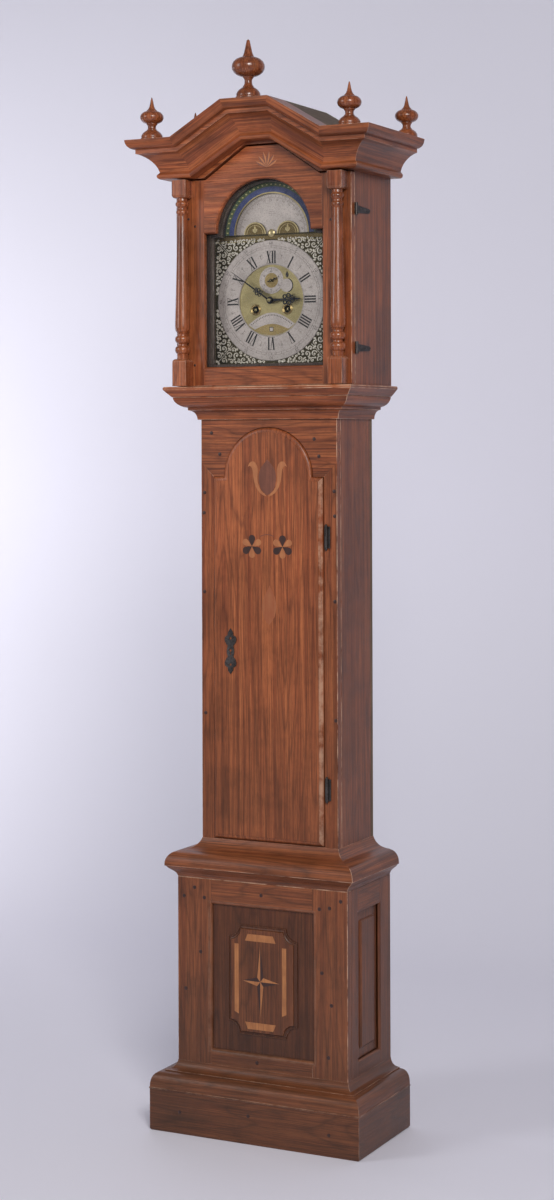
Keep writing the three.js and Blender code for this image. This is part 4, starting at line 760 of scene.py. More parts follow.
# ------------------------------------------------------------------ base
def build_base():
    sizes = bpy.context.scene.clock_sizes
    low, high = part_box("base_front_frame")
    half = high.x
    front = low.y
    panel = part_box("base_front_panel")
    open_half, open_low, open_high = panel[1].x + 0.3 * MM, panel[0].z - 0.3 * MM, panel[1].z + 0.3 * MM

    bm = copy_of("base_front_frame")

    def on_opening(e):
        mid = (e.verts[0].co + e.verts[1].co) / 2
        inside = abs(mid.x) < open_half + 0.001 and open_low - 0.001 < mid.z < open_high + 0.001
        return inside and all(abs(v.co.y - front) < TOUCHING for v in e.verts)

    bevel(bm, sharp_edges(bm, 40, on_opening), sizes.sticking, 6, 0.12)
    seam = open_half
    open_middle = (open_low + open_high) / 2
    cells = [
        (UP, 0.50, [plane(0, -seam)]),
        (UP, 0.72, [plane(0, seam, False)]),
        (ACROSS, 0.80, [*between(0, -seam, seam), plane(2, open_middle, False)]),
        (ACROSS, 0.42, [*between(0, -seam, seam), plane(2, open_middle)]),
    ]
    node = "base_front_frame"
    put("base_front_boards", in_boards(bm, cells, None, half), woods(), node, [node])

    ground = front + PANEL_BACK
    bm = box_between((-open_half + 0.3 * MM, ground, open_low + 0.3 * MM),
                     (open_half - 0.3 * MM, panel[1].y, open_high - 0.3 * MM))
    margin, scoop = 42 * MM, 29 * MM
    w, z0, z1 = open_half - margin, open_low + margin, open_high - margin
    shape = (
        arc(w, z0, scoop, 180, 90, 10) + arc(w, z1, scoop, 270, 180, 10)
        + arc(-w, z1, scoop, 0, -90, 10) + arc(-w, z0, scoop, 90, 0, 10)
    )
    field = slab(shape, ground - 2.6 * MM, ground + 1 * MM)
    step = 0.2618  # a sixth of a quarter turn
    hollow = [
        (7 * MM * (sin(a + step) - sin(a)), 4.6 * MM * (cos(a) - cos(a + step)))
        for a in [step * i for i in range(6)]
    ]
    mould_face(field, front_face(field), [
        (1.4 * MM, 0.0), (0.3 * MM, -1.6 * MM), *hollow, (0.3 * MM, 0.8 * MM)])
    soften(field, 0.35 * MM, 40.0, 1, 0.75)
    # Painted shade: the hollow round the raised field and the sunk ground round it get a much darker board
    # shade than the field's top.
    board = field.faces.layers.float["board"]
    top = ground - 5.4 * MM
    for face in field.faces:
        depth = face.calc_center_median().y - top
        face[board] = 0.28 if depth < 0.6 * MM else -0.75
    shades = [face[board] for face in field.faces]
    gather(bm, field, UP, 0.0)
    board = bm.faces.layers.float["board"]
    bm.faces.ensure_lookup_table()
    for index, face in enumerate(bm.faces):
        own = index - (len(bm.faces) - len(shades))
        face[board] = shades[own] if own >= 0 else -0.8
    put("base_panel_fielded", bm, woods(), "base_front_panel", ["base_front_panel"])

    for name in ("base_side_left", "base_side_right"):
        side = -1 if name.endswith("left") else 1
        low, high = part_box(name)
        middle = (front + high.y) / 2
        y0, y1 = middle - 59 * MM, middle + 59 * MM
        face_x = side * half

        def on_recess(e):
            mid = (e.verts[0].co + e.verts[1].co) / 2
            inside = y0 - 0.001 < mid.y < y1 + 0.001 and open_low - 0.001 < mid.z < open_high + 0.001
            return inside and all(abs(v.co.x - face_x) < TOUCHING for v in e.verts)

        bm = copy_of(name)
        bevel(bm, sharp_edges(bm, 40, on_recess), 6 * MM, 5)
        top_x = face_x - side * 4 * MM

        def on_field(e):
            return all(abs(v.co.x - top_x) < TOUCHING for v in e.verts)

        bevel(bm, sharp_edges(bm, 40, on_field), 3.5 * MM, 1)
        cells = [
            (UP, 0.45, [plane(1, y0)]),
            (UP, 0.55, [plane(1, y1, False)]),
            (DEEP, 0.40, [*between(1, y0, y1), plane(2, open_high, False)]),
            (DEEP, 0.30, [*between(1, y0, y1), plane(2, open_low)]),
            (UP, 0.25, [*between(1, y0, y1), *between(2, open_low, open_high)]),
        ]
        put(name + "_boards", in_boards(bm, cells), woods(), name, [name])

    dress_sweep("plinth_skirt", half, front, 101 * MM)
    low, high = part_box("plinth_skirt")
    lip = 1.4 * MM
    bm = box_between((low.x + lip, low.y - lip, 97.5 * MM), (high.x - lip, low.y + 2 * MM, 101.6 * MM))
    for x in (low.x - lip + 2 * MM, high.x + lip - 2 * MM):
        box_between((x - 2 * MM, low.y - lip, 97.5 * MM), (x + 2 * MM, high.y, 101.6 * MM), bm)
    soften(bm, 1.2 * MM, 60, 3, 0.45)
    for face in bm.faces:
        face.material_index = ACROSS if abs(face.calc_center_median().x) < high.x - 3 * MM else DEEP
    put("skirt_lip", bm, woods(), "plinth_skirt")
    places = [(-204, 548), (-176, 570), (-150, 548), (204, 570), (150, 548), (176, 552), (-160, 420),
              (172, 210), (156, 402), (180, 330), (0, 566), (-12, 176), (-200, 330)]
    pegs("base_pegs", "base_front_frame", places, front, 4.4 * MM)
    skirt_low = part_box("plinth_skirt")[0]
    pegs("skirt_pegs", "plinth_skirt", [(-190, 52), (-10, 66), (196, 50)], skirt_low.y, 4.2 * MM)


# ------------------------------------------------------------------ trunk
def build_trunk():
    low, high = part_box("trunk_front_frame")
    front, half = low.y, high.x
    bm = copy_of("trunk_front_frame")
    open_half, sill, shoulder = DOOR_HALF, DOOR_FOOT, DOOR_SHOULDER
    slope = Vector((38 * MM, 0, 37 * MM)).normalized()
    across_right = Vector((-slope.z, 0, slope.x))
    across_left = Vector((slope.z, 0, slope.x))
    knee = Vector((open_half, 0, shoulder))
    knee_left = Vector((-open_half, 0, shoulder))
    cells = [
        (UP, 0.62, [plane(0, -open_half), (knee_left, across_left)]),
        (UP, 0.50, [plane(0, open_half, False), (knee, across_right)]),
        (ACROSS, 0.55, [*between(0, -open_half, open_half), plane(2, (sill + shoulder) / 2)]),
        (ACROSS, 0.40, [
            plane(2, shoulder - 1e-5, False), (knee, -across_right), (knee_left, -across_left)]),
    ]
    node = "trunk_front_frame"
    put("trunk_front_boards", in_boards(bm, cells, None, half), woods(), node, [node])

    for name in ("trunk_side_left", "trunk_side_right"):
        bm = copy_of(name)
        shade_all(bm, 0.15 if name.endswith("right") else 0.4)
        soften(bm)
        put(name + "_board", bm, woods(), name, [name])

    for node in ("waist_moulding", "throat_moulding"):
        dress_sweep(node, half, front)
    places = [(-169, 1499), (-171, 1451), (-170, 1264), (-168, 977), (171, 1504), (172, 1447),
              (172, 1250), (173, 976), (-60, 1600), (120, 1625), (-150, 1640), (-128, 1590), (132, 1585)]
    pegs("trunk_pegs", "trunk_front_frame", places, front, 4.4 * MM)


def cut_slot(bm, low, high, gap):
    """A slot in the left-hand edge of a board, which the bolt slides out of."""
    edge_x = min(v.co.x for v in bm.verts)

    def on_edge(face):
        return all(abs(v.co.x - edge_x) < 0.01 * MM for v in face.verts)

    cuts = ((1, low.y - gap), (1, high.y + gap), (2, low.z - gap), (2, high.z + gap))
    for axis, at in cuts:
        faces = [f for f in bm.faces if on_edge(f)]
        edges = {e for f in faces for e in f.edges}
        verts = {v for f in faces for v in f.verts}
        where, facing = Vector(), Vector()
        where[axis], facing[axis] = at, 1
        bmesh.ops.bisect_plane(
            bm, geom=faces + list(edges) + list(verts), plane_co=where, plane_no=facing)

    def in_slot(face):
        c = face.calc_center_median()
        return on_edge(face) and cuts[0][1] < c.y < cuts[1][1] and cuts[2][1] < c.z < cuts[3][1]

    mouth = [f for f in bm.faces if in_slot(f)]
    if not mouth:
        raise RuntimeError("the bolt's slot misses the edge of the board")
    grown = bmesh.ops.extrude_face_region(bm, geom=mouth)["geom"]
    moved = [v for v in grown if isinstance(v, bmesh.types.BMVert)]
    bmesh.ops.translate(bm, verts=moved, vec=(high.x + gap - edge_x, 0, 0))
    bmesh.ops.delete(bm, geom=[f for f in mouth if f.is_valid], context="FACES")


def build_trunk_door():
    sizes = bpy.context.scene.clock_sizes
    low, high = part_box("trunk_door")
    front, back = low.y, high.y
    rim = front + 7 * MM
    outline = arched(DOOR_HALF, DOOR_FOOT, DOOR_SHOULDER, DOOR_ARCH, -1.2 * MM)
    bm = slab(outline, rim, back)
    mould_face(bm, front_face(bm), quarter_round(sizes.door_ovolo - 1.6 * MM, 6.0 * MM, 6)
               + [(0.2 * MM, 0.0), (0.4 * MM, 1.0 * MM), (1.0 * MM, 0.0)])
    board, wear = bm.faces.layers.float["board"], bm.faces.layers.float["wear"]
    for face in bm.faces:
        face[board] = 0.93
        middle = face.calc_center_median()
        # Painted highlight: the faces of the door's right-hand moulded edge get the worn tone, a bright line
        # standing in for light on that edge.
        if middle.x > 130 * MM and front + 0.2 * MM < middle.y < front + 6 * MM:
            face[wear] = 0.62
    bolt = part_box("lock_bolt")
    cut_slot(bm, bolt[0], bolt[1], 0.5 * MM)
    put("trunk_door_board", bm, woods(), "trunk_door", ["trunk_door"])

    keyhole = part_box("keyhole_escutcheon")
    dress("keyhole_escutcheon", [finish("iron")], 0.5 * MM)
    bm = fresh()
    middle = centre_of("keyhole_escutcheon")
    for x, z in ((0, 50), (0, -50), (-8, 30), (8, 30), (-8, -30), (8, -30)):
        lathe_mm([(0, 0), (1.6, 0), (1.3, 0.6), (0, 0.9)],
                 (middle.x + x * MM, keyhole[0].y + 0.2 * MM, middle.z + z * MM), "y", 10, bm)
    lathe_mm([(4.2, -0.5), (6, -0.5), (6, 0.4), (5.1, 1.1), (4.2, 0.4)],
             (middle.x, keyhole[0].y + 0.2 * MM, middle.z + 1.5 * MM), "y", 24, bm)
    put("escutcheon_nails", bm, [finish("iron")], "keyhole_escutcheon")
    paint_node("lock_bolt", finish("iron"))

    for node in ("trunk_hinge_lower", "trunk_hinge_upper"):
        dress(node, [finish("iron")], 0.4 * MM)
        low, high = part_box(node)
        z = (low.z + high.z) / 2
        bm = fresh()
        for rise in (-13.5, -4.5, 4.5, 13.5):
            lathe_mm([(4.15, -0.5), (4.5, -0.35), (4.5, 0.35), (4.15, 0.5)],
                     (low.x + 4.2 * MM, low.y + 4.2 * MM, z + rise * MM), "z", 20, bm)
        for end in (-1, 1):
            tip = [(3.4, 0), (3.0, 2.4), (1.4, 4.2), (0, 4.8), (0, 0)]
            profile = [(r, end * h) for r, h in tip]
            lathe_mm(profile, (low.x + 4.2 * MM, low.y + 4.2 * MM, z + end * 26 * MM), "z", 16, bm)
        put(node + "_knuckles", bm, [finish("iron")], node)
    build_door_inlay(front)


def inlay_piece(name, node, material, outlines, front, proud=0.25 * MM):
    """Thin veneers let into a face, standing a hair proud of it."""
    bm = fresh()
    for points in outlines:
        plate(points, front - proud, front + 0.6 * MM, bm)
    return put(name, bm, [finish(material)], node)


def leaf(x, z, turn, long, wide, steps=10):
    """Two halves of a pointed leaf that starts at a point and heads in a direction, in degrees."""
    a = radians(turn)
    halves = []
    for side in (-1, 1):
        ridge = [(long * i / steps, 0) for i in range(steps, -1, -1)]
        rim = [
            (long * i / steps, side * wide / 2 * sin(pi * (i / steps) ** 1.25))
            for i in range(1, steps)
        ]
        points = ridge[-1:] + rim + ridge[:1]
        halves.append([(x + u * cos(a) - v * sin(a), z + u * sin(a) + v * cos(a)) for u, v in points])
    return halves


def club(x, z, turn, reach, radius, steps=14):
    """A petal with a round end that narrows to a point, heading in a direction in degrees."""
    a = radians(turn)
    centre = reach - radius
    spread = 180 - degrees(acos(radius / centre))
    outline = [(0, 0)] + arc(centre, 0, radius, -spread, spread, steps)
    return [(x + u * cos(a) - v * sin(a), z + u * sin(a) + v * cos(a)) for u, v in outline]


def build_door_inlay(front):
    bud = curve_points([
        (2, 1494), (-14, 1500), (-24, 1520), (-20, 1545), (-17, 1560), (-6, 1568), (2, 1578),
        (10, 1568), (21, 1560), (24, 1545), (28, 1520), (18, 1500), (2, 1494)])[:-1]
    petal = curve_points([
        (0, 1491), (-26, 1496), (-34, 1522), (-36, 1548), (-38, 1562), (-44, 1566), (-49, 1560),
        (-46, 1574), (-34, 1578), (-27, 1566), (-21, 1554), (-24, 1546), (-24, 1534),
        (-24, 1516), (-14, 1500), (0, 1495)])[:-1]
    other = [(4 - x, z) for x, z in petal]
    inlay_piece("tulip_petals", "trunk_door", "inlay_soft", [petal, other], front)
    inlay_piece("tulip_bud", "trunk_door", "inlay_bud", [bud], front, 0.2 * MM)
    dark, light = [], []
    for x in (-39, 41):
        dark += [club(x, 1374, turn, 27, 8.6) for turn in (90, 212, 328)]
        light += [club(x, 1374, turn, 27, 7.8) for turn in (30, 150, 270)]
    inlay_piece("trefoil_dark", "trunk_door", "inlay_dark", dark, front, 0.3 * MM)
    inlay_piece("trefoil_light", "trunk_door", "inlay_soft", light, front)
    stem = arc(1, 1365, 38, 118, 62, 14) + arc(1, 1365, 36.2, 62, 118, 14)
    inlay_piece("trefoil_stem", "trunk_door", "inlay_bud", [stem], front)
    low_bud = curve_points([
        (5, 1191), (-14, 1205), (-16, 1232), (-8, 1256), (-3, 1268), (4, 1274), (7, 1284),
        (11, 1274), (18, 1266), (22, 1252), (28, 1230), (22, 1205), (5, 1191)])[:-1]
    inlay_piece("faded_bud", "trunk_door", "inlay_faint", [low_bud], front, 0.12 * MM)


def build_base_inlay():
    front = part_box("base_front_frame")[0].y + PANEL_BACK - 6.4 * MM
    x, z = -4, 364
    strips = []
    for side in (-1, 1):
        u = x + side * 62
        strips.append([
            (u - 5.5, z - 74), (u + 5.5, z - 74 + 5 * side), (u + 5.5, z + 84), (u - 5.5, z + 84)])
    for v, flip in ((z + 101, 1), (z - 104, -1)):
        outer, inner = v - 8 * flip, v + 8 * flip
        strips.append([(x - 40, outer), (x + 40, outer), (x + 33, inner), (x - 33, inner)])
    inlay_piece("panel_strips", "base_front_panel", "inlay", strips, front, 0.2 * MM)
    tips = [(x, z + 84), (x + 50.5, z), (x, z - 85), (x - 46, z)]
    waist = [(x + 8, z + 10), (x + 8, z - 10), (x - 8, z - 10), (x - 8, z + 10)]
    light, shade = [], []
    for i, tip in enumerate(tips):
        before, after = waist[i - 1], waist[i]
        light.append([(x, z), before, tip])
        shade.append([(x, z), tip, after])
    inlay_piece("star_light", "base_front_panel", "inlay", light, front, 0.4 * MM)
    inlay_piece("star_dark", "base_front_panel", "inlay_dark", shade, front, 0.4 * MM)


# ------------------------------------------------------------------ hood
def build_hood():
    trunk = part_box("trunk_front_frame")
    mask_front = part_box("dial_mask")[0].y + 1 * MM
    dress_sweep("hood_base_frame", trunk[1].x, trunk[0].y)
    for name in ("hood_side_left", "hood_side_right"):
        bm = copy_of(name)
        soften(bm)
        shade_all(bm, 0.12)
        put(name + "_board", bm, woods(), name, [name])

    bm = copy_of("cornice")
    side_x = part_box("hood_side_right")[1].x
    low_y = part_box("cornice")[0].y
    face_y = low_y + 87.4 * MM
    sweep_grain(bm, side_x, face_y)
    board = bm.faces.layers.float["board"]
    for face in bm.faces:
        x = face.calc_center_median().x
        if face.material_index == ACROSS and 61 * MM < abs(x) < 194 * MM:
            face.material_index = RISE if x < 0 else FALL
            face[board] = 0.4 if x < 0 else 0.7
    soften(bm, None, 38.0)
    put("cornice_finished", bm, woods(), "cornice", ["cornice"], 20.0)
    # Painted shade: a dark board fills the gap between the door's top and the cornice, standing in for the
    # shade there.
    head = box_between((-78 * MM, mask_front, 2300.5 * MM), (78 * MM, mask_front + 9 * MM, 2328 * MM))
    put("hood_gap_shade_board", head, woods("ebony"), "dial_mask")

    dress("hood_roof", [finish("pine_deep")], 0.8 * MM, 20.0)
    dress("dial_mask", woods("ebony"), 0.8 * MM)
    build_mask_mouldings()
    for node in ("hood_hinge_lower", "hood_hinge_upper"):
        dress(node, [finish("iron")], 0.4 * MM)
        low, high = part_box(node)
        z = (low.z + high.z) / 2
        bm = fresh()
        for back in (16, 40, 64):
            lathe_mm([(0, 0), (2.6, 0), (2.2, 0.9), (0, 1.3)], (0, 0, 0), "z", 12, bm)
            turned = [v for v in bm.verts if v.co.length < 4 * MM]
            place = Matrix.Translation((high.x, low.y + (4 + back) * MM, z))
            move = place @ Matrix.Rotation(pi / 2, 4, "Y")
            bmesh.ops.transform(bm, matrix=move, verts=turned)
        put(node + "_nails", bm, [finish("iron")], node)


def build_mask_mouldings():
    """The stepped dark frame that stands between the door and the dial."""
    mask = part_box("dial_mask")
    bm = fresh()
    for out, wide, proud in ((1.0, 5.0, 11.0), (6.0, 4.5, 7.0), (10.5, 4.0, 3.0)):
        inner = arched(*MASK_OPENING, out * MM, 48)
        outer = arched(*MASK_OPENING, (out + wide) * MM, 48)
        step = fresh()
        y0, y1 = mask[0].y - proud * MM, mask[0].y + 0.2 * MM
        loops = [
            [step.verts.new((x, y, z)) for x, z in shape]
            for y, shape in ((y0, inner), (y0, outer), (y1, outer), (y1, inner))
        ]
        for a, b in zip(loops, loops[1:] + loops[:1]):
            for i in range(len(a)):
                step.faces.new((a[i - 1], a[i], b[i], b[i - 1]))
        bmesh.ops.recalc_face_normals(step, faces=step.faces)
        gather(bm, step, 0, 0.1)
    put("mask_steps", bm, woods("ebony"), "dial_mask")


FINIALS = (
    "finial_centre", "finial_front_left", "finial_front_right",
    "finial_rear_left", "finial_rear_right",
)


def build_finials():
    corner = [
        (0, 0), (26.5, 0), (26.6, 1.6), (26.0, 3.2), (25.0, 3.8), (25.0, 5.0), (25.4, 7.0), (24.3, 10.5),
        (21.5, 14.5), (17.5, 18.2), (13.5, 20.6), (12.2, 21.4), (12.2, 22.6), (10.6, 23.6), (9.7, 26.5),
        (9.6, 30.0), (10.6, 33.0), (12.6, 35.0), (13.2, 36.2), (12.8, 37.2), (16.5, 38.2), (21.5, 40.6),
        (25.4, 44.5), (27.3, 49.0), (27.7, 52.0), (27.2, 55.4), (25.0, 59.6), (21.0, 63.4), (16.0, 65.8),
        (12.6, 66.6), (12.2, 67.6), (11.8, 68.4), (9.6, 70.4), (7.4, 73.5), (5.6, 78.0), (4.2, 84.0),
        (2.9, 91.0), (1.6, 96.8), (0.7, 98.8), (0, 99),
    ]
    centre = [
        (0, 0), (29.5, 0), (29.6, 1.8), (29.0, 3.4), (27.8, 4.2), (27.9, 6.0), (28.0, 9.0), (26.2, 13.6),
        (22.6, 18.4), (17.6, 22.4), (13.6, 24.8), (12.6, 26.0), (12.6, 27.6), (10.6, 29.4), (9.0, 33.6),
        (8.6, 39.0), (9.4, 43.4), (11.6, 46.6), (13.0, 48.0), (13.0, 49.2), (19.0, 50.6), (27.0, 54.0),
        (33.6, 59.4), (37.4, 66.0), (38.3, 72.0), (37.6, 77.6), (34.4, 84.0), (28.4, 89.6), (20.4, 93.2),
        (14.6, 94.4), (13.6, 96.0), (12.6, 97.6), (11.0, 101.0), (9.4, 106.0), (7.6, 114.0), (5.8, 122.0),
        (4.4, 129.0), (3.4, 133.0), (1.8, 134.8), (0, 135),
    ]
    for node in FINIALS:
        low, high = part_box(node)
        profile = centre if node == "finial_centre" else corner
        bm = lathe_mm(profile,
                   ((low.x + high.x) / 2, (low.y + high.y) / 2, low.z), "z", 56)
        shade_all(bm, 0.1 + 0.1 * FINIALS.index(node))
        put(node + "_turned", bm, turned_wood(), node, [node], 50.0)


def build_columns():
    shaft = [
        (0, 1813), (12.6, 1813), (12.6, 1821.5), (12.9, 1822.4), (13.6, 1823.4), (13.4, 1824.6),
        (12.2, 1825.6),
        (14.2, 1827.6), (16.9, 1831.0), (17.9, 1835.4), (17.6, 1839.6), (15.8, 1843.2), (12.6, 1845.4),
        (11.0, 1846.2), (10.5, 1848.4), (10.8, 1850.8), (12.6, 1851.8), (15.6, 1854.0), (17.8, 1858.4),
        (18.0, 1862.4), (16.8, 1866.2), (14.0, 1868.8), (12.2, 1869.6), (11.8, 1872.0), (12.2, 1874.6),
        (13.6, 1875.2), (13.8, 1876.6), (12.8, 1877.4), (14.6, 1878.6), (16.6, 1881.4), (17.7, 1885.6),
        (17.9, 1891.0), (17.7, 1900.0), (17.1, 1918.0), (16.4, 1940.0), (15.5, 1970.0), (14.7, 2000.0),
        (13.9, 2035.0), (13.1, 2075.0), (12.4, 2110.0), (12.0, 2140.0), (11.9, 2152.0), (12.3, 2155.6),
        (13.8, 2157.2), (14.4, 2159.6), (14.4, 2162.2), (13.6, 2164.4), (12.0, 2165.6), (11.3, 2168.0),
        (11.3, 2171.0), (12.2, 2173.0), (14.4, 2175.0), (15.9, 2178.4), (15.8, 2181.6), (14.2, 2184.4),
        (12.4, 2186.0), (12.0, 2188.6), (12.0, 2194.5), (0, 2194.5),
    ]
    for node in ("column_left", "column_right"):
        low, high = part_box(node)
        x, y = (low.x + high.x) / 2, (low.y + high.y) / 2
        bm = lathe_mm(shaft, (x, y, 0), "z", 56)
        half = (high.x - low.x) / 2
        for z0, z1, turned_end in ((low.z, 1815 * MM, 1), (2193 * MM, high.z, -1)):
            block = box_between((x - half, y - half, z0), (x + half, y + half, z1))
            end = z1 if turned_end > 0 else z0
            rim = [e for e in block.edges if all(abs(v.co.z - end) < 1e-6 for v in e.verts)]
            bevel(block, rim, 8 * MM, 6, 0.15)
            soften(block, 0.7 * MM, 60.0, 2, 0.8)
            gather(bm, block, UP, 0.2)
        shade_all(bm, 0.5 if node.endswith("left") else 0.62)
        put(node + "_turned", bm, turned_wood(), node, [node], 48.0)


def build_hood_door():
    low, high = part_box("hood_door_frame")
    front = low.y
    open_half, sill, shoulder, radius = 153.8 * MM, low.z + 44.5 * MM, 2109 * MM, 123 * MM
    bm = copy_of("hood_door_frame")

    def on_opening(e):
        if not all(abs(v.co.y - front) < TOUCHING for v in e.verts):
            return False
        mid = (e.verts[0].co + e.verts[1].co) / 2
        in_square = abs(mid.x) < open_half + 5e-4 and sill - 5e-4 < mid.z < shoulder + 5e-4
        return in_square or hypot(mid.x, mid.z - shoulder) < radius + 5e-4

    bevel(bm, sharp_edges(bm, 40, on_opening), 5 * MM, 5, 0.0)
    seam = 154 * MM
    cells = [
        (UP, 0.50, [plane(0, -seam)]),
        (UP, 0.66, [plane(0, seam, False)]),
        (ACROSS, 0.60, [*between(0, -seam, seam), plane(2, (sill + shoulder) / 2)]),
        (ACROSS, 0.95, [*between(0, -seam, seam), plane(2, (sill + shoulder) / 2, False)]),
    ]
    node = "hood_door_frame"
    put("hood_door_boards", in_boards(bm, cells, None, high.x), woods(), node, [node])
    paint_node("door_glass", finish("glass"))
    places = [(-178, 2128), (-180, 1800), (176, 2128), (178, 1796), (-196, 2146)]
    pegs("hood_door_pegs", "hood_door_frame", places, front, 3.0 * MM)

    x, z = 12, 2257
    rays_light, rays_dark = [], []
    for turn in (152, 128, 104, 80, 56, 32):
        a, b = leaf(x, z, turn, 39 - abs(turn - 92) * 0.12, 8)
        rays_light.append(a)
        rays_dark.append(b)
    inlay_piece("fan_light", "hood_door_frame", "inlay_soft", rays_light, front)
    inlay_piece("fan_dark", "hood_door_frame", "inlay_bud", rays_dark, front, 0.2 * MM)


# ------------------------------------------------------------------ dial
ROMAN = ("XII", "I", "II", "III", "IIII", "V", "VI", "VII", "VIII", "IX", "X", "XI")


def numeral(bm, text, centre, foot, head, turn, front, back, thick):
    """A Roman numeral whose foot is towards the centre, turned clockwise by an angle in degrees."""
    gap = thick * 0.72
    thin = thick * 0.30
    serif = thick * 0.18
    wide = {"I": thick, "V": thick * 3.0, "X": thick * 3.0}
    total = sum(wide[c] for c in text) + gap * (len(text) - 1)
    glyph = fresh()
    at = -total / 2
    for c in text:
        w = wide[c]
        if c == "I":
            bar(glyph, (at + w / 2, foot), (at + w / 2, head), thick, front, back)
        elif c == "V":
            bar(glyph, (at + thick / 2, head), (at + w / 2, foot), thick, front, back)
            bar(glyph, (at + w - thin / 2, head), (at + w / 2, foot), thin, front, back)
        else:
            bar(glyph, (at + thick / 2, head), (at + w - thick / 2, foot), thick, front, back)
            bar(glyph, (at + w - thin / 2, head), (at + thin / 2, foot), thin, front, back)
        at += w + gap
    for end in (foot, head):
        reach = total / 2 + thick * 0.22
        bar(glyph, (-reach, end), (reach, end), serif, front, back)
    place_part(bm, glyph, centre, turn)


def figures(bm, text, size, centre, reach, turn, front):
    """Plain figures, made a mesh, at a distance from a centre."""
    data = bpy.data.curves.new("figures", "FONT")
    data.body = text
    data.size = size
    data.align_x = "CENTER"
    data.align_y = "CENTER"
    data.extrude = 0.12 * MM
    data.resolution_u = 3
    holder = bpy.data.objects.new("figures", data)
    bpy.context.scene.collection.objects.link(holder)
    bpy.context.view_layer.update()
    mesh = bpy.data.meshes.new_from_object(holder)
    flat = fresh()
    flat.from_mesh(mesh)
    bmesh.ops.remove_doubles(flat, verts=flat.verts, dist=0.002 * MM)
    stand = Matrix.Rotation(pi / 2, 4, "X")
    lift = Matrix.Translation((0, 0, reach))
    place = Matrix.Translation((centre.x, front, centre.z))
    move = place @ Matrix.Rotation(radians(turn), 4, "Y") @ lift @ stand
    bmesh.ops.transform(flat, matrix=move, verts=flat.verts)
    gather(bm, flat)
    bpy.data.objects.remove(holder)
    bpy.data.curves.remove(data)
    bpy.data.meshes.remove(mesh)


def build_chapter_ring():
    sizes = bpy.context.scene.clock_sizes
    low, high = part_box("chapter_ring")
    centre = (low + high) / 2
    front = low.y
    bm = ring_plate(141.4 * MM, 84 * MM, front, high.y, centre.x, centre.z, 128, None, 0.3 * MM)
    put("chapter_ring_silvered", bm, [finish("silver")], "chapter_ring", ["chapter_ring"], 30.0)

    ink = fresh()
    y0, y1 = front - 0.12 * MM, front + 0.3 * MM
    middle = Vector((centre.x, 0, centre.z))
    foot = 87 * MM
    for hour, text in enumerate(ROMAN):
        numeral(ink, text, middle, foot, foot + sizes.numeral, hour * 30, y0, y1, sizes.stroke)
    faint = fresh()
    for radius, width in ((140.2, 0.5), (128.4, 0.45), (123.2, 0.45), (85.2, 0.5)):
        outer, inner = (radius + width / 2) * MM, (radius - width / 2) * MM
        ring_plate(outer, inner, y0, y1, centre.x, centre.z, 96, faint)
    for minute in range(60):
        tick = fresh()
        wide = 1.2 if minute % 5 == 0 else 0.55
        bar(tick, (0, 123.4 * MM), (0, 128.2 * MM), wide * MM, y0, y1)
        place_part(faint, tick, middle, minute * 6)
    for half in range(12):
        mark = fresh()
        bar(mark, (0, 99 * MM), (0, 112 * MM), 0.7 * MM, y0, y1)
        for side in (-1, 1):
            bar(mark, (0, 106 * MM), (side * 3.2 * MM, 110 * MM), 0.6 * MM, y0, y1)
        place_part(faint, mark, middle, half * 30 + 15)
    for fifth in range(12):
        text = str(60 if fifth == 0 else fifth * 5)
        figures(faint, text, 10.5 * MM, centre, 134.2 * MM, fifth * 30, front)
    put("chapter_ring_numerals", ink, [finish("wax")], "chapter_ring", (), 30.0)
    put("chapter_ring_minutes", faint, [finish("engraving")], "chapter_ring", (), 30.0)


def lens(x, z, half, up, down, steps=16):
    """A pointed lens outline about a line between its two corners."""
    top = [(x + half * (1 - 2 * i / steps), z + up * sin(pi * i / steps)) for i in range(steps + 1)]
    foot = [(x - half * (1 - 2 * i / steps), z - down * sin(pi * i / steps)) for i in range(1, steps)]
    return top + foot


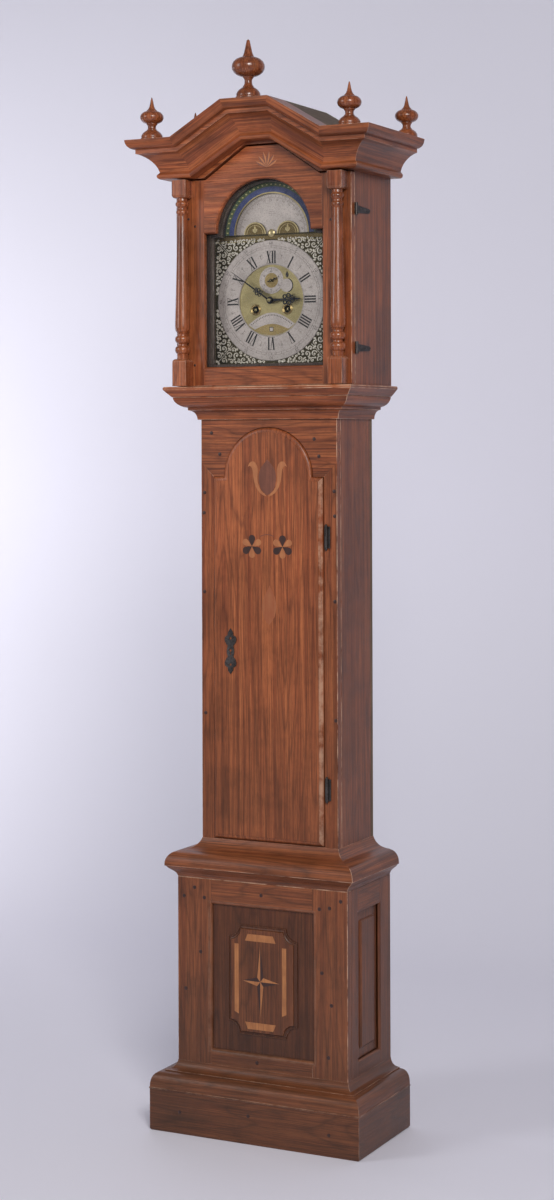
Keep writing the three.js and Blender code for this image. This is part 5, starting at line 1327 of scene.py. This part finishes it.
def build_dial_plate():
    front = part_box("dial_plate")[0].y
    cz = centre_of("chapter_ring").z / MM
    moon_z = MOON_Z
    bm = copy_of("dial_plate")
    put("dial_plate_finished", bm, [finish("dial_brass")], "dial_plate", ["dial_plate"], 30.0)

    bands = (
        ("band_blue", "blue", 98, 111, 0.3), ("band_green", "green", 111, 121, 0.35),
        ("band_dark", "night", 121, 129.6, 0.3),
    )
    for name, paint, inner, outer, proud in bands:
        points = arc(0, moon_z, outer, 0, 180, 48) + arc(0, moon_z, inner, 180, 0, 48)
        bm = plate(points, front - proud * MM, front + 0.2 * MM)
        put(name, bm, [finish(paint)], "dial_plate")
    dots = fresh()
    for i in range(31):
        a = radians(3 + i * 5.8)
        x, z = 116 * cos(a), moon_z + 116 * sin(a)
        spot = [(x + 2.6 * cos(t * pi / 4 + a), z + 1.7 * sin(t * pi / 4 + a)) for t in range(8)]
        plate(spot, front - 0.5 * MM, front, dots)
    put("band_dots", dots, [finish("straw")], "dial_plate")

    discs = fresh()
    gilt = fresh()
    rim = arc(0, moon_z, 98.2, 0, 180, 56) + arc(0, moon_z, 95.2, 180, 0, 56)
    plate(rim, front - 1.2 * MM, front + 0.2 * MM, gilt)
    for x in (-43, 43):
        points = arc(x, moon_z, 28.6, 0, 180, 28)
        plate(points, front - 0.5 * MM, front + 0.2 * MM, discs)
        band = arc(x, moon_z, 28.6, 0, 180, 28) + arc(x, moon_z, 26.0, 180, 0, 28)
        plate(band, front - 1.1 * MM, front, gilt)
        band = arc(x, moon_z, 22.0, 0, 180, 28) + arc(x, moon_z, 21.0, 180, 0, 28)
        plate(band, front - 0.9 * MM, front, gilt)
        for turn in (62, 90, 118):
            for half in leaf(x, moon_z + 3, turn, 18 if turn == 90 else 12, 5):
                plate(half, front - 1.3 * MM, front, gilt)
    lathe_mm([(0, 0), (9, 0), (9, 1.2), (7.6, 2.4), (4.5, 3.4), (0, 3.8)],
             (0, front, (moon_z + 1.5) * MM), "y", 32, gilt)
    put("arch_gilding", gilt, [finish("bright_gilt")], "dial_plate")
    put("hump_discs", discs, [finish("old_brass")], "dial_plate")

    strip = fresh()
    half, top = 152.3, cz + 152.4
    box_between((-half * MM, front - 1.3 * MM, (top - 9) * MM),
                (half * MM, front + 0.2 * MM, top * MM), strip)
    soften(strip, 0.4 * MM, 60, 2, 0)
    put("arch_strip", strip, [finish("old_brass")], "dial_plate")

    build_spandrels(front, cz, half)

    fine = fresh()
    z = cz + 47
    ring_plate(31.6 * MM, 17.5 * MM, front - 0.9 * MM, front + 0.1 * MM, 0, z * MM, 56, fine, 0.25 * MM)
    disc = fresh()
    ring_plate(15.6 * MM, 0, front - 0.7 * MM, front + 0.1 * MM, 39.3 * MM, 1984.6 * MM, 40, disc, 0.25 * MM)
    gather(fine, disc)
    plaque = [(x * MM, v * MM) for x, v in lens(0, cz - 56, 61, 27.5, 27)]
    slab(plaque, front - 0.6 * MM, front + 0.1 * MM, fine)
    put("dial_silvered_plates", fine, [finish("silver")], "dial_plate")

    marks = fresh()
    y0, y1 = front - 1.0 * MM, front - 0.5 * MM
    for i in range(60):
        tick = fresh()
        bar(tick, (0, (26 if i % 5 else 24.5) * MM), (0, 29.5 * MM), (0.35 if i % 5 else 0.7) * MM, y0, y1)
        place_part(marks, tick, (0, 0, z * MM), i * 6)
    for i in range(6):
        figures(marks, str(60 if i == 0 else i * 10), 5.6 * MM, Vector((0, 0, z * MM)),
                21.4 * MM, i * 60, front - 0.9 * MM)
    crescent = arc(39.3, 1984.6, 17.2, -70, 70, 14) + arc(39.3, 1984.6, 15.4, 70, -70, 14)
    plate(crescent, front - 0.8 * MM, front, marks)
    spade = [(41, 2002), (45, 2008), (44, 2013), (41, 2018), (38, 2013), (37, 2008)]
    plate(spade, front - 0.6 * MM, front, marks)
    date = [(-5.2, cz - 73), (5.2, cz - 73), (5.2, cz - 62.5), (-5.2, cz - 62.5)]
    plate(date, front - 1.0 * MM, front - 0.5 * MM, marks)
    for x in range(-52, 53, 4):
        rise = 27.5 * sin(pi * (0.5 - x / 122)) - 5.5
        lift = cz - 56 + rise
        tick = [(x - 0.8, lift - 1.6), (x + 0.8, lift - 1.6), (x + 0.8, lift + 1.2), (x - 0.8, lift + 1.2)]
        plate(tick, front - 0.72 * MM, front - 0.5 * MM, marks)
    put("dial_marks", marks, [finish("wax")], "dial_plate")

    gold = fresh()
    plate(lens(0, cz - 68.5, 46, 13.5, 13.5), front - 0.95 * MM, front, gold)
    ring_plate(17.3 * MM, 3 * MM, front - 0.5 * MM, front + 0.1 * MM, 0, z * MM, 40, gold)
    for x in (-41.3, 41.3):
        centre = (x * MM, front + 0.1 * MM, (cz - 21.1) * MM)
        profile = [(8.5, 0), (8.5, 1.0), (9.4, 1.5), (10.3, 0.8), (11.2, 0.7), (12.2, 1.3),
                   (13.3, 0.8), (13.4, 0)]
        lathe_mm(profile, centre, "y", 40, gold)
    put("dial_gilt_plates", gold, [finish("gilt")], "dial_plate")
    window = fresh()
    box_between((-3.9 * MM, front - 1.1 * MM, (cz - 71.6) * MM),
                (3.9 * MM, front - 0.5 * MM, (cz - 63.9) * MM), window)
    put("date_window", window, [finish("silver")], "dial_plate")


def scroll(splines, x, z, size, start, hand, turns=1.1):
    """One curl of cast scrollwork, as points with a thickness."""
    points = []
    steps = 13
    for i in range(steps + 1):
        t = i / steps
        r = size * (1 - 0.80 * t)
        a = start + hand * 2 * pi * turns * t
        points.append((x + r * cos(a), z + r * sin(a), 1.7 - 0.8 * t))
    splines.append(points)


def build_spandrels(front, cz, half):
    """Cast openwork in the four corners: curls that pack the corner between the ring and the border."""
    rng = random.Random(11)
    curls = []
    reach = half - 4.4
    ring = 142.2
    while len(curls) < 112:
        best = None
        for _ in range(160):
            x = rng.uniform(18, reach)
            z = rng.uniform(18, x)
            room = min(hypot(x, z) - ring, reach - x, reach - z, (x - z) / sqrt(2) + 0.2, 8.4)
            for cx, cz2, r in curls:
                room = min(room, hypot(x - cx, z - cz2) - r)
            if room > 1.5 and (best is None or room > best[2]):
                best = (x, z, room)
        if best is None:
            break
        curls.append(best)
    splines, beads = [], []
    for x, z, r in curls:
        start = rng.uniform(0, 2 * pi)
        hand = rng.choice((-1, 1))
        scroll(splines, x, z, r * 0.92, start, hand)
        scroll(splines, z, x, r * 0.92, pi / 2 - start, -hand)
        for u, v in ((x, z), (z, x)):
            beads.append((u, v, max(1.0, r * 0.26)))
    stem = [(t, t, 0.9) for t in (104, 112, 120, 128, 136, 144)]
    splines.append(stem)
    data = bpy.data.curves.new("curls", "CURVE")
    data.dimensions = "3D"
    data.bevel_depth = 1.0 * MM
    data.bevel_resolution = 1
    data.use_fill_caps = True
    for points in splines:
        spline = data.splines.new("POLY")
        spline.points.add(len(points) - 1)
        for point, (x, z, thick) in zip(spline.points, points):
            point.co = (x * MM, 0, z * MM, 1)
            point.radius = thick
    holder = bpy.data.objects.new("curls", data)
    bpy.context.scene.collection.objects.link(holder)
    bpy.context.view_layer.update()
    mesh = bpy.data.meshes.new_from_object(holder)
    one = fresh()
    one.from_mesh(mesh)
    bmesh.ops.remove_doubles(one, verts=one.verts, dist=0.001 * MM)
    for x, z, r in beads:
        bmesh.ops.create_icosphere(
            one, subdivisions=1, radius=r * MM, matrix=Matrix.Translation((x * MM, 0, z * MM)))
    bmesh.ops.scale(one, vec=(1, 0.8, 1), verts=one.verts)
    bpy.data.objects.remove(holder)
    bpy.data.curves.remove(data)
    bpy.data.meshes.remove(mesh)

    whole = fresh()
    for sx in (-1, 1):
        for sz in (-1, 1):
            corner = one.copy()
            bmesh.ops.scale(corner, vec=(sx, 1, sz), verts=corner.verts)
            if sx * sz < 0:
                bmesh.ops.reverse_faces(corner, faces=corner.faces)
            bmesh.ops.translate(corner, vec=(0, front - 0.5 * MM, cz * MM), verts=corner.verts)
            gather(whole, corner)
    one.free()
    put("spandrels", whole, [finish("spandrel")], "dial_plate", (), 60.0)

    beads = fresh()
    edge = half - 2.0
    count = 76
    for i in range(count):
        t = -edge + 2 * edge * i / (count - 1)
        for x, z in ((t, -edge), (t, edge - 10), (-edge, t), (edge, t)):
            if z > edge - 10 or (abs(x) > edge - 1 and abs(t) > edge - 1):
                continue
            bmesh.ops.create_icosphere(
                beads, subdivisions=1, radius=1.7 * MM,
                matrix=Matrix.Translation((x * MM, front, (cz + z) * MM)))
    put("dial_border", beads, [finish("brass")], "dial_plate", (), 60.0)


def build_moon():
    low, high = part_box("moon_disc")
    centre = (low + high) / 2
    front = low.y
    bm = ring_plate(98.8 * MM, 3.2 * MM, front, high.y, centre.x, centre.z, 96, None, 0.2 * MM)
    put("moon_disc_silvered", bm, [finish("silver")], "moon_disc", ["moon_disc"], 30.0)
    ink = fresh()
    y0, y1 = front - 0.1 * MM, front + 0.2 * MM
    for radius in (93.0, 86.5, 84.6):
        ring_plate((radius + 0.2) * MM, (radius - 0.2) * MM, y0, y1, centre.x, centre.z, 96, ink)
    middle = Vector((centre.x, 0, centre.z))
    for i in range(LUNAR_DAYS):
        tick = fresh()
        bar(tick, (0, 86.6 * MM), (0, 92.8 * MM), 0.4 * MM, y0, y1)
        place_part(ink, tick, middle, 360 * i / LUNAR_DAYS)
    for i in range(0, LUNAR_DAYS, 2):
        figures(ink, str(i % 29 + 1), 7.0 * MM, centre, 79.6 * MM, 360 * i / LUNAR_DAYS - 88, front)
    for v, w in ((44, 15), (48, 18), (52, 15)):
        line = fresh()
        bar(line, (-w * MM / 2, v * MM), (w * MM / 2, v * MM), 0.5 * MM, y0, y1)
        place_part(ink, line, middle)
    put("moon_disc_figures", ink, [finish("engraving")], "moon_disc", (), 30.0)


def hand_shape(kind, y0, y1):
    """A pierced hand that points up from its own hub."""
    bm = fresh()
    m = MM

    def eye(x, z, outer, inner):
        ring_plate(outer * m, inner * m, y0, y1, x * m, z * m, 20, bm)

    if kind == "hour":
        eye(0, 0, 8.5, 4.9)
        bar(bm, (0, 7.5 * m), (0, 34 * m), 6.0 * m, y0, y1, 4.2 * m)
        for side in (-1, 1):
            eye(side * 6.4, 39, 5.6, 2.9)
            eye(side * 8.2, 49, 6.2, 3.3)
            eye(side * 5.0, 58, 4.4, 2.0)
            bar(bm, (side * 1.5 * m, 63 * m), (side * 7 * m, 66 * m), 2.4 * m, y0, y1, 0.6 * m)
        bar(bm, (0, 33 * m), (0, 66 * m), 2.4 * m, y0, y1)
        bar(bm, (0, 62 * m), (0, 82 * m), 6.4 * m, y0, y1, 0.5 * m)
    elif kind == "minute":
        eye(0, 0, 6.5, 2.6)
        bar(bm, (0, 5.6 * m), (0, 24 * m), 4.4 * m, y0, y1, 3.4 * m)
        for side in (-1, 1):
            eye(side * 4.2, 28, 4.0, 1.9)
            eye(side * 5.0, 36, 4.4, 2.2)
            eye(side * 3.2, 43.5, 3.2, 1.4)
        bar(bm, (0, 23 * m), (0, 50 * m), 2.0 * m, y0, y1)
        bar(bm, (0, 48 * m), (0, 122 * m), 3.6 * m, y0, y1, 0.8 * m)
    else:
        eye(0, 0, 3.4, 1.6)
        bar(bm, (0, 3 * m), (0, 25 * m), 1.6 * m, y0, y1, 0.4 * m)
        bar(bm, (0, -3 * m), (0, -9 * m), 1.6 * m, y0, y1, 2.6 * m)
        eye(0, 10, 2.4, 1.1)
    return bm


def build_hands():
    centre = centre_of("chapter_ring")
    for kind, turn, rise in (("hour", 88.5, 0), ("minute", 304.8, 0), ("seconds", 70, 47)):
        node = kind + "_hand"
        low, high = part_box(node)
        bm = hand_shape(kind, low.y, high.y)
        place = Matrix.Translation((centre.x, 0, centre.z + rise * MM))
        move = place @ Matrix.Rotation(radians(turn), 4, "Y")
        bmesh.ops.transform(bm, matrix=move, verts=bm.verts)
        soften(bm, 0.12 * MM, 50.0, 1, 0)
        put(node + "_pierced", bm, [finish("steel")], node, [node])
    low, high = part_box("minute_hand")
    cap = lathe_mm([(0, 0), (4.6, 0), (4.6, 0.6), (3.4, 1.3), (0, 1.5)],
                   (centre.x, low.y, centre.z), "y", 24)
    put("hand_collet", cap, [finish("brass")], "minute_hand")


# ------------------------------------------------------------------ inside
def build_inside():
    low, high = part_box("backboard")
    bm = copy_of("backboard")
    a, b = low.x / 3, high.x / 3
    cells = [
        (UP, 0.3, [plane(0, a)]),
        (UP, 0.7, [*between(0, a, b)]),
        (UP, 0.5, [plane(0, b, False)]),
    ]
    put("backboard_planks", in_boards(bm, cells, 0.9 * MM), woods("pine"), "backboard", ["backboard"])
    bm = copy_of("seatboard")
    for face in bm.faces:
        face.material_index = ACROSS
    put("seatboard_finished", bm, woods("pine"), "seatboard", ["seatboard"])

    for node in ("front_plate", "back_plate"):
        dress(node, [finish("brass")], 0.3 * MM, 32.0)
    for node in ("bell", "going_barrel", "strike_barrel"):
        dress(node, [finish("brass")], None, 40.0)
    for node in ("centre_arbor", "third_wheel", "escape_wheel", "minute_wheel", "hour_wheel",
                 "going_great_wheel", "strike_great_wheel"):
        paint_node(node, finish("brass"))
    for node in ("hammer", "anchor", "pendulum_rod"):
        dress(node, [finish("bright_steel")], None, 40.0)
    dress("pendulum_bob", [finish("brass")], None, 40.0)
    for node in ("going_weight", "strike_weight"):
        dress(node, [finish("lead")], None, 40.0)
    for side in ("going", "strike"):
        node = side + "_line"
        low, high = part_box(node)
        middle = (low + high) / 2
        pulley = low.z + (high.x - low.x) / 2
        ends = ((middle.x, middle.y, high.z), (middle.x, middle.y, pulley))
        put(node + "_gut", copy_of(node), [finish("gut")], node, [node], 60.0,
            ("case", side + "_weight", *ends))


# ------------------------------------------------------------------ stage
def area_light(name, place, target, size, power, colour):
    data = bpy.data.lights.new(name, "AREA")
    data.shape = "RECTANGLE"
    data.size, data.size_y = size
    data.energy = power
    data.color = colour
    lamp = bpy.data.objects.new(name, data)
    bpy.context.scene.collection.objects.link(lamp)
    lamp.location = place
    lamp.rotation_euler = (Vector(target) - Vector(place)).to_track_quat("-Z", "Y").to_euler()
    return lamp


def build_stage():
    scene = bpy.context.scene
    scene.view_settings.view_transform = "Standard"
    bm = bmesh.new()
    profile = [(-7.0, 0.0), (1.6, 0.0)] + [
        (1.6 + 1.4 * sin(a), 1.4 * (1 - cos(a))) for a in [pi / 2 * i / 12 for i in range(1, 13)]
    ] + [(3.0, 6.0)]
    verts = [bm.verts.new((-9, y, z - 0.0002)) for y, z in profile]
    edges = [bm.edges.new(pair) for pair in zip(verts, verts[1:])]
    grown = bmesh.ops.extrude_edge_only(bm, edges=edges)["geom"]
    moved = [v for v in grown if isinstance(v, bmesh.types.BMVert)]
    bmesh.ops.translate(bm, verts=moved, vec=(18, 0, 0))
    bm.normal_update()
    if sum(face.normal.z for face in bm.faces) < 0:
        bmesh.ops.reverse_faces(bm, faces=bm.faces)
    mesh = bpy.data.meshes.new("backdrop")
    bm.to_mesh(mesh)
    bm.free()
    mesh.materials.append(finish("floor"))
    mesh.shade_smooth()
    backdrop = bpy.data.objects.new("backdrop", mesh)
    scene.collection.objects.link(backdrop)

    area_light("key", (2.1, -3.1, 3.3), (0, 0, 1.75), (1.1, 1.5), 118, (1.0, 0.985, 0.965))
    area_light("left", (-3.0, -3.2, 2.8), (0, 0, 1.7), (1.2, 2.2), 46, (0.97, 0.98, 1.0))
    area_light("right", (4.2, -0.6, 2.0), (0, 0, 1.3), (1.2, 2.6), 1.5, (0.92, 0.95, 1.0))
    area_light("backdrop_glow", (-4.1, 0.6, 1.5), (-3.2, 3.0, 1.3), (1.0, 1.6), 56, (0.97, 0.97, 1.0))
    world = bpy.data.worlds.new("studio")
    world.use_nodes = True
    world.node_tree.nodes["Background"].inputs["Color"].default_value = (0.80, 0.81, 0.88, 1)
    world.node_tree.nodes["Background"].inputs["Strength"].default_value = 0.25
    scene.world = world

    data = bpy.data.cameras.new("camera")
    data.sensor_fit = "VERTICAL"
    data.sensor_height = 36
    data.lens = 67.16
    data.shift_y = -0.1331
    camera = bpy.data.objects.new("camera", data)
    scene.collection.objects.link(camera)
    camera.location = (2.3784, -4.6937, 1.6223)
    level = Matrix.Rotation(radians(26.80), 4, "Z") @ Matrix.Rotation(pi / 2, 4, "X")
    roll = Matrix.Rotation(radians(-0.188), 4, "Z")
    camera.rotation_euler = (level @ roll).to_euler()
    scene.camera = camera


# ------------------------------------------------------------------ operators
def operator(name, label, text, work):
    """An operator class that builds one group of pieces."""

    def execute(self, context):
        work()
        return {"FINISHED"}

    return type(
        "CLOCK_OT_" + name, (bpy.types.Operator,),
        {"bl_idname": "clock." + name, "bl_label": label, "__doc__": text, "execute": execute},
    )


OPERATORS = [
    operator("stage", "Stage", "Makes the floor, the lights and the camera", build_stage),
    operator("base", "Base", "Builds the base frame, its panels and the plinth skirt", build_base),
    operator("base_inlay", "Base inlay", "Lets the star and the strips into the base panel",
             build_base_inlay),
    operator("trunk", "Trunk", "Builds the trunk's boards and mouldings", build_trunk),
    operator("trunk_door", "Trunk door", "Builds the trunk door with its inlay, lock plate and hinges",
             build_trunk_door),
    operator("hood", "Hood", "Builds the hood's sides, cornice, roof, mask and hinges", build_hood),
    operator("finials", "Finials", "Turns the five finials", build_finials),
    operator("columns", "Columns", "Turns the two columns", build_columns),
    operator("hood_door", "Hood door", "Builds the hood door, its glass and its inlay", build_hood_door),
    operator("chapter_ring", "Chapter ring", "Builds the silvered ring and its numerals",
             build_chapter_ring),
    operator("dial_plate", "Dial plate", "Builds the dial plate and all that is fixed to it",
             build_dial_plate),
    operator("moon", "Moon disc", "Builds the disc in the arch", build_moon),
    operator("hands", "Hands", "Builds the three pierced hands", build_hands),
    operator("inside", "Inside", "Finishes the backboard, the movement, the pendulum and the weights",
             build_inside),
]


class CLOCK_PT_panel(bpy.types.Panel):
    """Lists the clock's operators, sizes and colours"""

    bl_label = "Grandfather clock"
    bl_space_type = "VIEW_3D"
    bl_region_type = "UI"
    bl_category = "Clock"

    def draw(self, context):
        for cls in OPERATORS:
            self.layout.operator(cls.bl_idname)
        for group in (context.scene.clock_sizes, context.scene.clock_colours):
            for key in group.bl_rna.properties.keys():
                if key not in ("rna_type", "name"):
                    self.layout.prop(group, key)


CLASSES = [ClockSizes, ClockColours, *OPERATORS, CLOCK_PT_panel]


def register():
    for cls in CLASSES:
        bpy.utils.register_class(cls)
    bpy.types.Scene.clock_sizes = bpy.props.PointerProperty(type=ClockSizes)
    bpy.types.Scene.clock_colours = bpy.props.PointerProperty(type=ClockColours)


def unregister():
    del bpy.types.Scene.clock_colours
    del bpy.types.Scene.clock_sizes
    for cls in reversed(CLASSES):
        bpy.utils.unregister_class(cls)


def main():
    register()
    for cls in OPERATORS:
        group, name = cls.bl_idname.split(".")
        getattr(getattr(bpy.ops, group), name)()


if __name__ == "__main__":
    main()
